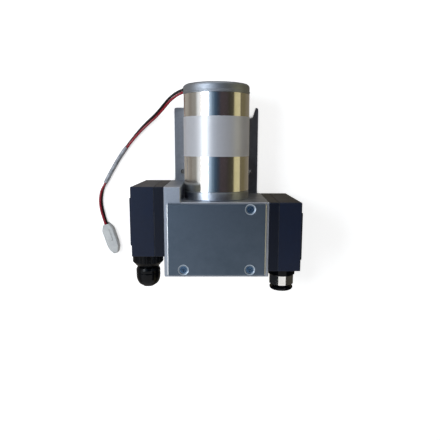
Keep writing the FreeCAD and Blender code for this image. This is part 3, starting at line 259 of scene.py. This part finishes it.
def add_piece(name, mesh, material, body):
    """Put a finished mesh in the scene as a piece that rides on a body."""
    piece = bpy.data.objects.new(name, mesh)
    bpy.context.scene.collection.objects.link(piece)
    mesh.materials.clear()
    mesh.materials.append(material)
    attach(piece, body)
    return piece


lead_points = [
    (-0.025325, 0.066215, 0.026783),
    (-0.0313, 0.0644, 0.0240),
    (-0.0384, 0.0597, 0.0202),
    (-0.0450, 0.0534, 0.0130),
    (-0.0515, 0.0475, 0.0062),
    (-0.0595, 0.0412, 0.00305),
    (-0.0676, 0.0334, 0.00235),
    (-0.0751, 0.0245, 0.00235),
    (-0.0818, 0.0160, 0.00235),
    (-0.0872, 0.0077, 0.00235),
    (-0.0919, -0.0001, 0.00235),
    (-0.0963, -0.0079, 0.00235),
    (-0.1009, -0.0167, 0.00235),
    (-0.1025, -0.0265, 0.00235),
    (-0.1010, -0.0367, 0.00265),
    (-0.0978, -0.0469, 0.00325),
]
wire_radius = 0.00100
wire_offset = 0.00101
pair_turns = [(0.0, -8.0), (0.035, 6.0), (0.075, 60.0), (0.1140, 76.0),
              (0.123, 116.0), (0.138, 128.0), (0.149, 118.0), (0.160, 116.0)]


def smooth_line(points):
    """A curve object through given points, as one smooth spline."""
    line = bpy.data.curves.new("lead_line", "CURVE")
    line.dimensions = "3D"
    line.resolution_u = 24
    spline = line.splines.new("NURBS")
    spline.points.add(len(points) - 1)
    for point, place in zip(spline.points, points):
        point.co = (*place, 1.0)
    spline.order_u = 3
    spline.use_endpoint_u = True
    return bpy.data.objects.new("lead_line", line)


def points_on(curve_object):
    """The points that a curve runs through, read from the spline itself."""
    mesh = bpy.data.meshes.new_from_object(curve_object)
    places = [vertex.co.copy() for vertex in mesh.vertices]
    bpy.data.meshes.remove(mesh)
    return places


def pair_turn(gone):
    """How far the red wire has wound round the black one, by the length gone."""
    for (start, low), (stop, high) in zip(pair_turns, pair_turns[1:]):
        if gone <= stop:
            share = (gone - start) / (stop - start)
            return math.radians(low + (high - low) * share * share * (3 - 2 * share))
    return math.radians(pair_turns[-1][1])


def wire_round(centre, phase):
    """A wire that winds round the lead's line."""
    line = bpy.data.curves.new("wire", "CURVE")
    line.dimensions = "3D"
    line.bevel_depth = wire_radius
    line.bevel_resolution = 4
    line.use_fill_caps = True
    spline = line.splines.new("POLY")
    spline.points.add(len(centre) - 1)
    gone = 0.0
    for index, place in enumerate(centre):
        before = centre[max(index - 1, 0)]
        after = centre[min(index + 1, len(centre) - 1)]
        way = (after - before).normalized()
        flat = Vector((0.0, 0.0, 1.0)).cross(way).normalized()
        rise = way.cross(flat)
        if index:
            gone += (place - before).length
        turn = phase + pair_turn(gone)
        off = flat * math.cos(turn) + rise * math.sin(turn)
        spline.points[index].co = (*(place + off * wire_offset), 1.0)
    carrier = bpy.data.objects.new("wire", line)
    mesh = bpy.data.meshes.new_from_object(carrier)
    bpy.data.objects.remove(carrier)
    return shade_smooth(mesh)


lead_line = smooth_line(lead_points)
lead_centre = points_on(lead_line)
bpy.data.objects.remove(lead_line)

red_cover = finish("red_wire_cover", rgb(176, 30, 50), rgb(140, 20, 38), 0.012,
                   (0.2, 0.3), grit=3000.0, relief=0.05)
black_cover = finish("black_wire_cover", rgb(26, 11, 15), rgb(14, 8, 10), 0.012,
                     (0.34, 0.48), grit=3000.0, relief=0.05)
tune(black_cover, "Specular IOR Level", 0.3)
motor_wires = add_piece("red_motor_wire", wire_round(lead_centre, 0.0),
                        red_cover, "frame")
black_wire = add_piece("black_motor_wire", wire_round(lead_centre, math.pi),
                       black_cover, "frame")
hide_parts("motor_lead")


# The sleeve is a length of pale shrink tube. It has drawn in round the two
# wires, one above the other here, so it is taller than wide; its surface is
# silvery, with faint streaks.

sleeve_start = 0.0765
sleeve_end = 0.1134
sleeve_half_width = 0.00170
sleeve_half_height = 0.00222
sleeve_sides = 24


def stretch_of(centre, start, stop):
    """The points of a line between two lengths along it."""
    part, gone = [], 0.0
    for before, after in zip(centre, centre[1:]):
        if start <= gone <= stop:
            part.append(before)
        gone += (after - before).length
    return part


def shrunk_tube(centre):
    """An oval tube along a line, kept upright."""
    oval = bpy.data.curves.new("oval", "CURVE")
    ring = oval.splines.new("POLY")
    ring.points.add(sleeve_sides - 1)
    for index, point in enumerate(ring.points):
        turn = 2 * math.pi * index / sleeve_sides
        across = sleeve_half_width * math.cos(turn)
        point.co = (across, sleeve_half_height * math.sin(turn), 0, 1)
    ring.use_cyclic_u = True
    section = bpy.data.objects.new("oval", oval)
    line = bpy.data.curves.new("sleeve", "CURVE")
    line.dimensions = "3D"
    line.twist_mode = "Z_UP"
    line.bevel_mode = "OBJECT"
    line.bevel_object = section
    line.use_fill_caps = True
    spline = line.splines.new("POLY")
    spline.points.add(len(centre) - 1)
    for point, place in zip(spline.points, centre):
        point.co = (*place, 1.0)
    carrier = bpy.data.objects.new("sleeve", line)
    bpy.context.scene.collection.objects.link(section)
    bpy.context.scene.collection.objects.link(carrier)
    bpy.context.view_layer.update()
    shown = carrier.evaluated_get(bpy.context.evaluated_depsgraph_get())
    mesh = bpy.data.meshes.new_from_object(shown)
    bpy.data.objects.remove(carrier)
    bpy.data.objects.remove(section)
    return shade_smooth(mesh, 50.0)


sleeve_cover = finish("pale_sleeve", rgb(192, 195, 202), rgb(146, 149, 158), 0.003,
                      (0.2, 0.34), grit=1500.0, stretch=(1.0, 0.3, 1.0), relief=0.15,
                      contrast=1.5)
wire_sleeve = add_piece("wire_sleeve",
                        shrunk_tube(stretch_of(lead_centre, sleeve_start, sleeve_end)),
                        sleeve_cover, "frame")
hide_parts("lead_sleeve")


# The plug is moulded in natural nylon, milky and slightly glossy, with a latch
# on its upper side and two crimped terminals in its rooms.

plug_nylon = finish("milky_nylon", rgb(240, 241, 240), rgb(216, 218, 218), 0.006,
                    (0.3, 0.45), grit=1200.0, relief=0.08)
paint(plug_nylon, "lead_plug")
terminal_tin = finish("tinned_brass", rgb(196, 190, 172), rgb(160, 150, 128), 0.003,
                      (0.25, 0.4), metallic=1.0)
paint(terminal_tin, "plug_terminals")


# The base plate is 3 mm zinc-plated sheet steel, sawn square, with two round
# holes and an open notch; it shows soft spangle and rubbed edges.

plate_zinc = finish("plate_zinc", rgb(152, 153, 157), rgb(130, 131, 135), 0.02,
                    (0.3, 0.44), metallic=1.0, grit=900.0, relief=0.04,
                    edge=rgb(206, 210, 215), edge_strength=0.4)
paint(plate_zinc, "base_plate")
screw_zinc = finish("blue_zinc", rgb(150, 172, 196), rgb(104, 128, 156), 0.003,
                    (0.2, 0.34), metallic=1.0, grit=1800.0, relief=0.05,
                    edge=rgb(235, 240, 245), edge_strength=1.5)
paint(screw_zinc, "base_plate_screws")


# The crank housing is one milled aluminium block. Its left shoulder stands
# beside the motor and carries the left head nearer to it.

housing_aluminium = finish("milled_aluminium", rgb(184, 190, 200), rgb(158, 164, 175), 0.015,
                           (0.38, 0.5), metallic=1.0, grit=1400.0,
                           stretch=(1.0, 0.06, 1.0), relief=0.1,
                           edge=rgb(226, 231, 238), edge_strength=0.5)
paint(housing_aluminium, "crank_housing")


# The cover is a zinc-plated steel plate with rounded edges on a thin gasket,
# held by three countersunk screws.

cover_steel = finish("cover_steel", rgb(98, 110, 124), rgb(84, 96, 109), 0.05,
                     (0.42, 0.5), metallic=1.0, grit=400.0,
                     stretch=(1.0, 0.05, 1.0), relief=0.02, contrast=1.3)
screw_low, screw_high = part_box("cover_screws")
cover_low, cover_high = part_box("housing_cover")
screw_head_radius = 0.00285
mouth_radius = 0.00405
ring_highlight_width = 0.0007
ring_highlight_fade = 0.0001
side_highlight_width = 0.0011
side_highlight_fade = 0.0004
screw_mouths = [
    (screw_high.x - screw_head_radius, screw_high.y - screw_head_radius),
    (screw_high.x - screw_head_radius, screw_low.y + screw_head_radius),
    (screw_low.x + screw_head_radius, screw_low.y + screw_head_radius)]


def paint_cover_highlights(material, centres):
    """Painted highlights: a thin bright ring round each screw's mouth, and bright left and
    right edges.
    """
    tree = material.node_tree
    shader = tree.nodes["Principled BSDF"]
    place = tree.nodes.new("ShaderNodeTexCoord")
    apart = tree.nodes.new("ShaderNodeSeparateXYZ")
    tree.links.new(place.outputs["Object"], apart.inputs[0])
    reaches = []
    for x, y in centres:
        across = math_node(tree, "SUBTRACT", apart.outputs["X"], x)
        along = math_node(tree, "SUBTRACT", apart.outputs["Y"], y)
        across = math_node(tree, "MULTIPLY", across, across)
        along = math_node(tree, "MULTIPLY", along, along)
        reaches.append(math_node(tree, "SQRT", math_node(tree, "ADD", across, along)))
    nearest = math_node(tree, "MINIMUM", reaches[0], reaches[1])
    nearest = math_node(tree, "MINIMUM", nearest, reaches[2])
    past_ring = math_node(tree, "SUBTRACT", nearest, mouth_radius - ring_highlight_width / 2)
    off_ring = math_node(tree, "ABSOLUTE", past_ring)
    ring = map_range(tree, off_ring, ring_highlight_width / 2 + ring_highlight_fade, ring_highlight_width / 2 - ring_highlight_fade)
    middle = (cover_low.x + cover_high.x) / 2
    off = math_node(tree, "ABSOLUTE", math_node(tree, "SUBTRACT", apart.outputs["X"], middle))
    past_side = math_node(tree, "SUBTRACT", off, (cover_high.x - cover_low.x) / 2)
    side = map_range(tree, past_side, -side_highlight_width, -side_highlight_width + side_highlight_fade)
    colour = shader.inputs["Base Color"].links[0].from_socket
    # Painted highlights: near-white on the side edges and pale on the rings; the rings are also
    # made less metallic so they stay bright.
    colour = mix(tree, side, colour, rgb(246, 249, 252))
    colour = mix(tree, ring, colour, rgb(182, 194, 206))
    tree.links.new(colour, shader.inputs["Base Color"])
    tree.links.new(map_range(tree, ring, 1.3, 0.0), shader.inputs["Metallic"])


paint_cover_highlights(cover_steel, screw_mouths)
paint(cover_steel, "housing_cover")
dark_zinc = finish("dark_blue_zinc", rgb(84, 118, 152), rgb(52, 76, 106), 0.002,
                   (0.3, 0.42), metallic=1.0, grit=1800.0, relief=0.05,
                   edge=rgb(170, 190, 210), edge_strength=1.2)
paint(dark_zinc, "cover_screws")
gasket_fibre = finish("gasket_fibre", rgb(62, 60, 58), rgb(44, 42, 42), 0.004,
                      (0.6, 0.8), grit=2500.0, relief=0.3)
paint(gasket_fibre, "cover_gasket")


# The motor is a drawn steel tube, nickel plated and nearly mirror bright,
# between a cast front flange and a cast end cap.

motor_nickel = finish("drawn_nickel", rgb(240, 239, 236), rgb(228, 227, 222), 0.01,
                      (0.09, 0.16), metallic=1.0, grit=900.0,
                      stretch=(1.0, 0.04, 1.0), relief=0.02)


def face_rank(face):
    """A number by a face's corners, which keeps the faces in one order each run."""
    corners = [vertex.index for vertex in face.verts]
    return min(corners) * 1e5 + max(corners)


def turned_shell(name, outline):
    """A ring turned about the motor shaft. The outline gives (radius, y) in metres."""
    ring = bmesh.new()
    corners = [ring.verts.new((radius, y, shaft_height)) for radius, y in outline]
    edges = [ring.edges.new((a, b)) for a, b in zip(corners, corners[1:] + corners[:1])]
    bmesh.ops.spin(ring, geom=corners + edges, cent=(0.0, 0.0, shaft_height),
                   axis=(0.0, 1.0, 0.0), angle=2 * math.pi, steps=tube_sides, use_merge=True)
    bmesh.ops.recalc_face_normals(ring, faces=ring.faces)
    ring.verts.index_update()
    ring.faces.sort(key=face_rank)
    mesh = bpy.data.meshes.new(name)
    ring.to_mesh(mesh)
    ring.free()
    return shade_smooth(mesh, 35.0)


tube_low, tube_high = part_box("motor_tube")
shaft_height = (tube_low.z + tube_high.z) / 2
tube_radius = (tube_high.x - tube_low.x) / 2
tube_wall = 0.0018
tube_edge = 0.0003
tube_sides = 192
tube_outline = [
    (tube_radius - tube_wall, tube_low.y), (tube_radius - tube_edge, tube_low.y),
    (tube_radius, tube_low.y + tube_edge), (tube_radius, tube_high.y - tube_edge),
    (tube_radius - tube_edge, tube_high.y), (tube_radius - tube_wall, tube_high.y)]
motor_shell = add_piece("motor_shell", turned_shell("motor_shell", tube_outline),
                        motor_nickel, "frame")
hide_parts("motor_tube")

cast_zinc = finish("cast_zinc", rgb(190, 196, 204), rgb(168, 174, 184), 0.008,
                   (0.3, 0.41), metallic=1.0, grit=1600.0, relief=0.1,
                   edge=rgb(222, 228, 234), edge_strength=0.7)
paint(cast_zinc, "motor_front_flange")
cap_zinc = finish("blasted_zinc", rgb(166, 172, 180), rgb(146, 152, 161), 0.008,
                  (0.44, 0.54), metallic=1.0, grit=1600.0, relief=0.1,
                  edge=rgb(206, 212, 218), edge_strength=0.5)
paint(cap_zinc, "motor_end_cap")
paint(screw_zinc, "motor_screws")
black_rubber = finish("black_rubber", rgb(24, 24, 26), rgb(36, 35, 37), 0.003,
                      (0.5, 0.7), grit=2500.0, relief=0.15)
paint(black_rubber, "lead_grommet")


# The band round the tube is plain white paper, glued on. It has a clear coat
# that catches the window.

label_paper = finish("label_paper", rgb(204, 206, 213), rgb(195, 197, 205), 0.02,
                     (0.3, 0.38), grit=2200.0, relief=0.03)
tune(label_paper, "Specular IOR Level", 1.0)
tune(label_paper, "Coat Weight", 1.0)
tune(label_paper, "Coat IOR", 2.3)
tune(label_paper, "Coat Roughness", 0.38)
paint(label_paper, "motor_label")


# Inside the tube are ferrite magnets, the wound armature with its copper
# commutator, and the brush gear on a phenolic plate.

ferrite = finish("ferrite", rgb(58, 56, 58), rgb(44, 43, 46), 0.005, (0.5, 0.65), relief=0.2)
paint(ferrite, "motor_magnets")
core_steel = finish("core_steel", rgb(120, 122, 128), rgb(92, 94, 100), 0.006, (0.35, 0.5),
                    metallic=1.0, grit=2500.0, stretch=(0.1, 1.0, 0.1), relief=0.3)
paint(core_steel, "armature_core")
winding_copper = finish("enamelled_copper", rgb(168, 88, 48), rgb(128, 60, 34), 0.003,
                        (0.25, 0.4), metallic=0.7, grit=1600.0,
                        stretch=(1.0, 0.2, 1.0), relief=0.5)
paint(winding_copper, "armature_windings")
bar_copper = finish("bar_copper", rgb(196, 122, 84), rgb(150, 86, 58), 0.004, (0.2, 0.4),
                    metallic=1.0, stretch=(0.2, 1.0, 0.2))
paint(bar_copper, "commutator")
brush_phenolic = finish("brush_phenolic", rgb(110, 76, 48), rgb(88, 58, 36), 0.006,
                        (0.5, 0.65), relief=0.15)
paint(brush_phenolic, "brush_plate")
holder_brass = finish("holder_brass", rgb(200, 168, 96), rgb(160, 128, 70), 0.004,
                      (0.25, 0.4), metallic=1.0)
paint(holder_brass, "brush_holders")
brush_carbon = finish("brush_carbon", rgb(40, 38, 40), rgb(26, 25, 27), 0.002, (0.35, 0.5),
                      relief=0.25)
paint(brush_carbon, "carbon_brushes")
bright_steel = finish("bright_steel", rgb(206, 208, 212), rgb(176, 179, 184), 0.005,
                      (0.14, 0.26), metallic=1.0, grit=2000.0,
                      stretch=(0.15, 1.0, 0.15), relief=0.06)
paint(bright_steel, "brush_springs", "motor_shaft", "shaft_bearing_inner_rings",
      "shaft_bearing_outer_rings")


# In the crank chamber, cast rods run on an eccentric sleeve and a brass weight
# balances them. The rods press the diaphragms against their clamp discs.

paint(holder_brass, "counterweight")
paint(bright_steel, "counterweight_screw", "eccentric_sleeve", "bearing_spacer",
      "rod_bearing_inner_rings", "left_rod_bearing_outer_ring",
      "right_rod_bearing_outer_ring", "left_clamp_screw", "right_clamp_screw")
rod_aluminium = finish("cast_aluminium", rgb(186, 190, 196), rgb(158, 163, 170), 0.004,
                       (0.4, 0.55), metallic=0.85, grit=1800.0, relief=0.2)
paint(rod_aluminium, "left_connecting_rod", "right_connecting_rod", "left_clamp_disc",
      "right_clamp_disc")
paint(black_rubber, "left_diaphragm", "right_diaphragm")


# The pump heads are cast blocks painted blue-black: a valve plate and a taller
# cover with a raised pad, on a dark gasket, held by four socket screws.

head_paint = finish("head_paint", rgb(17, 30, 56), rgb(13, 24, 47), 0.02,
                    (0.36, 0.46), grit=3000.0, relief=0.1,
                    edge=rgb(64, 74, 98), edge_strength=0.6)
tune(head_paint, "Specular IOR Level", 0.3)
paint(head_paint, "left_head_cover", "right_head_cover")
plate_paint = finish("plate_paint", rgb(11, 20, 38), rgb(8, 14, 30), 0.02,
                     (0.36, 0.46), grit=3000.0, relief=0.1,
                     edge=rgb(78, 88, 112), edge_strength=0.8)
tune(plate_paint, "Specular IOR Level", 0.25)
paint(plate_paint, "left_valve_plate", "right_valve_plate")
paint(black_rubber, "left_umbrella_valves", "right_umbrella_valves", "transfer_seals")
paint(gasket_fibre, "left_head_gasket", "right_head_gasket")
socket_black = finish("black_oxide", rgb(52, 52, 56), rgb(36, 36, 40), 0.003, (0.3, 0.45),
                      metallic=0.8, relief=0.08)
paint(socket_black, "head_screws")


# The inlet fitting on the left head is black nylon: a fluted collar and a domed
# nut that presses a rubber ring onto the hose.

inlet_nylon = finish("black_nylon", rgb(7, 9, 15), rgb(4, 6, 9), 0.006,
                     (0.1, 0.16), grit=2500.0, relief=0.05,
                     edge=rgb(46, 48, 58), edge_strength=0.5)
tune(inlet_nylon, "Specular IOR Level", 0.16)
paint(inlet_nylon, "inlet_fitting_body", "inlet_fitting_nut")
paint(black_rubber, "inlet_seal")


# The outlet fitting on the right head is nickel-plated brass on a black washer,
# with a release collar that slides in to free the hose.

outlet_nickel = finish("bright_nickel", rgb(238, 236, 232), rgb(222, 220, 216), 0.006,
                       (0.07, 0.15), metallic=1.0, grit=1500.0,
                       stretch=(1.0, 0.1, 1.0), relief=0.03)
paint(outlet_nickel, "outlet_fitting_body")
paint(inlet_nylon, "outlet_washer", "outlet_release_collar")


# A pale floor, a wide soft light from the left, and quiet cards that stand in
# for the room that the bright metal mirrors. Two small dark cards beside the
# outlet fitting only put painted shade into its mirrored sides.

def flat_card(name, width, depth, material, centre, turn=(0.0, 0.0, 0.0)):
    """A rectangle that isn't part of the object."""
    card = bmesh.new()
    bmesh.ops.create_grid(card, x_segments=1, y_segments=1, size=0.5)
    bmesh.ops.scale(card, vec=(width, depth, 1.0), verts=card.verts)
    mesh = bpy.data.meshes.new(name)
    card.to_mesh(mesh)
    card.free()
    mesh.materials.append(material)
    piece = bpy.data.objects.new(name, mesh)
    piece.location = centre
    piece.rotation_euler = [math.radians(angle) for angle in turn]
    bpy.context.scene.collection.objects.link(piece)
    return piece


def seen_rays(tree):
    """1 for rays from the camera, from a mirror or through glass, and 0 for the rest."""
    path = tree.nodes.new("ShaderNodeLightPath").outputs
    direct = math_node(tree, "MAXIMUM", path["Is Camera Ray"], path["Is Glossy Ray"])
    return math_node(tree, "MAXIMUM", direct, path["Is Transmission Ray"])


hole_reach = 0.004
hole_sky = 0.43
open_sky = 0.54
hole_light = 0.02


def open_ground(tree):
    """1 on open ground and almost 0 at the bottom of a narrow hole: the mask for painted shade
    in holes.
    """
    sky = tree.nodes.new("ShaderNodeAmbientOcclusion")
    sky.samples = 8
    sky.inputs["Distance"].default_value = hole_reach
    return map_range(tree, sky.outputs["AO"], hole_sky, open_sky, low=hole_light)


floor_glow = 0.75
floor_material = bpy.data.materials.new("pale_floor")
floor_material.use_nodes = True
tune(floor_material, "Roughness", 1.0)
tune(floor_material, "Specular IOR Level", 0.0)
tune(floor_material, "Emission Color", (1.0, 1.0, 1.0, 1.0))
ground = floor_material.node_tree
paper = ground.nodes["Principled BSDF"]
open_here = open_ground(ground)
lift = math_node(ground, "MULTIPLY", seen_rays(ground), floor_glow)
glow_here = math_node(ground, "MULTIPLY", lift, open_here)
ground.links.new(glow_here, paper.inputs["Emission Strength"])
# Painted shade: the floor's colour goes near black and its glow fades at the bottom of narrow
# holes.
paper_shade = mix(ground, open_here, (0.01, 0.01, 0.01, 1.0), (0.8, 0.8, 0.8, 1.0))
ground.links.new(paper_shade, paper.inputs["Base Color"])
flat_card("floor", 8.0, 8.0, floor_material, (0.0, 0.0, -0.0001))

room_light = 0.25
world = bpy.data.worlds.new("pale_room")
world.use_nodes = True
bpy.context.scene.world = world
room = world.node_tree
backdrop = room.nodes["Background"]
backdrop.inputs["Color"].default_value = (1.0, 1.0, 1.0, 1.0)
level = map_range(room, seen_rays(room), 0.0, 1.0, low=room_light)
room.links.new(level, backdrop.inputs["Strength"])

window_place = Vector((-0.42, 0.08, 0.54))
pump_middle = Vector((0.0, 0.02, 0.03))
key = bpy.data.lights.new("window", "AREA")
key.shape = "RECTANGLE"
key.size = 0.44
key.size_y = 0.26
key.energy = 2.3
key.color = (0.87, 0.935, 1.0)
key_object = bpy.data.objects.new("window", key)
key_object.location = window_place
key_object.rotation_euler = (pump_middle - window_place).to_track_quat("-Z", "Y").to_euler()
bpy.context.scene.collection.objects.link(key_object)


dim_light = 0.4


def glowing(name, shades, middle=0.0, soft=None, dim=None, sheltered=False):
    """A card whose light changes along its own X and may fade along its own Y.

    shades lists (place in metres, colour), where the card's middle lies at middle.
    soft gives the places where the card is clear and where it is whole, dim those
    where its light is least and where it is full. A sheltered card is painted dark
    inside narrow holes, as shade.
    """
    material = bpy.data.materials.new(name)
    material.use_nodes = True
    tree = material.node_tree
    tree.nodes.remove(tree.nodes["Principled BSDF"])
    glow = tree.nodes.new("ShaderNodeEmission")
    place = tree.nodes.new("ShaderNodeTexCoord")
    apart = tree.nodes.new("ShaderNodeSeparateXYZ")
    tree.links.new(place.outputs["Object"], apart.inputs[0])
    first, last = shades[0][0], shades[-1][0]
    share = map_range(tree, apart.outputs["X"], first - middle, last - middle)
    ramp = tree.nodes.new("ShaderNodeValToRGB")
    ramp.color_ramp.interpolation = "EASE"
    steps = ramp.color_ramp.elements
    steps[0].color = shades[0][1]
    steps[1].color = shades[-1][1]
    for where, colour in shades[1:-1]:
        steps.new((where - first) / (last - first)).color = colour
    tree.links.new(share, ramp.inputs[0])
    tree.links.new(ramp.outputs["Color"], glow.inputs["Color"])
    surface = glow
    if dim:
        light = map_range(tree, apart.outputs["Y"], dim[0], dim[1], low=dim_light)
        tree.links.new(light, glow.inputs["Strength"])
    if sheltered:
        tree.links.new(open_ground(tree), glow.inputs["Strength"])
    if soft:
        clear = tree.nodes.new("ShaderNodeBsdfTransparent")
        surface = tree.nodes.new("ShaderNodeMixShader")
        fade = map_range(tree, apart.outputs["Y"], soft[0], soft[1])
        fade.node.interpolation_type = "SMOOTHSTEP"
        tree.links.new(fade, surface.inputs[0])
        tree.links.new(clear.outputs[0], surface.inputs[1])
        tree.links.new(glow.outputs[0], surface.inputs[2])
    tree.links.new(surface.outputs[0], tree.nodes["Material Output"].inputs["Surface"])
    return material


ceiling_shades = [
    (-0.30, rgb(205, 225, 250)), (-0.22, rgb(168, 192, 220)), (-0.15, rgb(110, 134, 158)),
    (-0.04, rgb(62, 82, 104)), (0.06, rgb(54, 62, 76)), (0.16, rgb(70, 62, 66)),
    (0.75, rgb(58, 54, 49))]
overhead = flat_card("overhead_card", 1.15, 1.3,
                     glowing("dim_ceiling", ceiling_shades, 0.195, (-0.32, -0.29),
                             (-0.32, -0.10)),
                     (0.195, 0.08, 0.62))
warm = flat_card("warm_card", 0.6, 1.4, glowing("warm_wall", [
    (-0.3, rgb(104, 94, 76)), (-0.26, rgb(108, 98, 80)), (-0.23, rgb(208, 198, 156)),
    (-0.04, rgb(204, 194, 150)), (0.02, rgb(72, 68, 56)), (0.3, rgb(58, 54, 49))]),
    (0.47, 0.05, 0.3), turn=(0.0, -90.0, 0.0))
# Painted shade: two small dark cards, seen only in mirrors, on either side of the outlet
# fitting.
outlet_shade_right = flat_card("dim_right_card", 0.06, 0.055, glowing("outlet_shade_right", [
    (-0.03, rgb(74, 72, 66)), (0.03, rgb(58, 56, 52))]),
    (0.075, -0.0895, 0.0301), turn=(0.0, -90.0, 0.0))
left_wall = flat_card("left_wall_card", 0.36, 1.4, glowing("left_wall", [
    (-0.18, rgb(146, 142, 136)), (-0.02, rgb(148, 145, 140)), (0.13, rgb(236, 239, 243)),
    (0.18, rgb(240, 243, 248))]), (-0.56, 0.05, 0.18), turn=(0.0, -90.0, 0.0))
outlet_shade_left = flat_card("dark_front_card", 0.07, 0.055, glowing("outlet_shade_left", [
    (-0.035, rgb(38, 40, 44)), (0.035, rgb(30, 32, 36))]),
    (0.030, -0.0895, 0.0351), turn=(0.0, -90.0, 0.0))
# The bench card is also painted dark inside narrow holes, as shade.
bench = flat_card("bench_card", 1.6, 1.6, glowing("bench", [
    (-0.8, rgb(134, 128, 121)), (-0.2, rgb(138, 132, 125)), (-0.08, rgb(166, 160, 153)),
    (0.02, rgb(144, 138, 130)), (0.07, rgb(124, 115, 98)), (0.15, rgb(112, 103, 78)),
    (0.8, rgb(122, 113, 86))], sheltered=True),
    (0.0, 0.0, -0.00005))
for card in (overhead, warm, outlet_shade_right, left_wall, outlet_shade_left, bench):
    card.visible_camera = False
    card.visible_diffuse = False
    card.visible_shadow = False
    card.visible_transmission = False
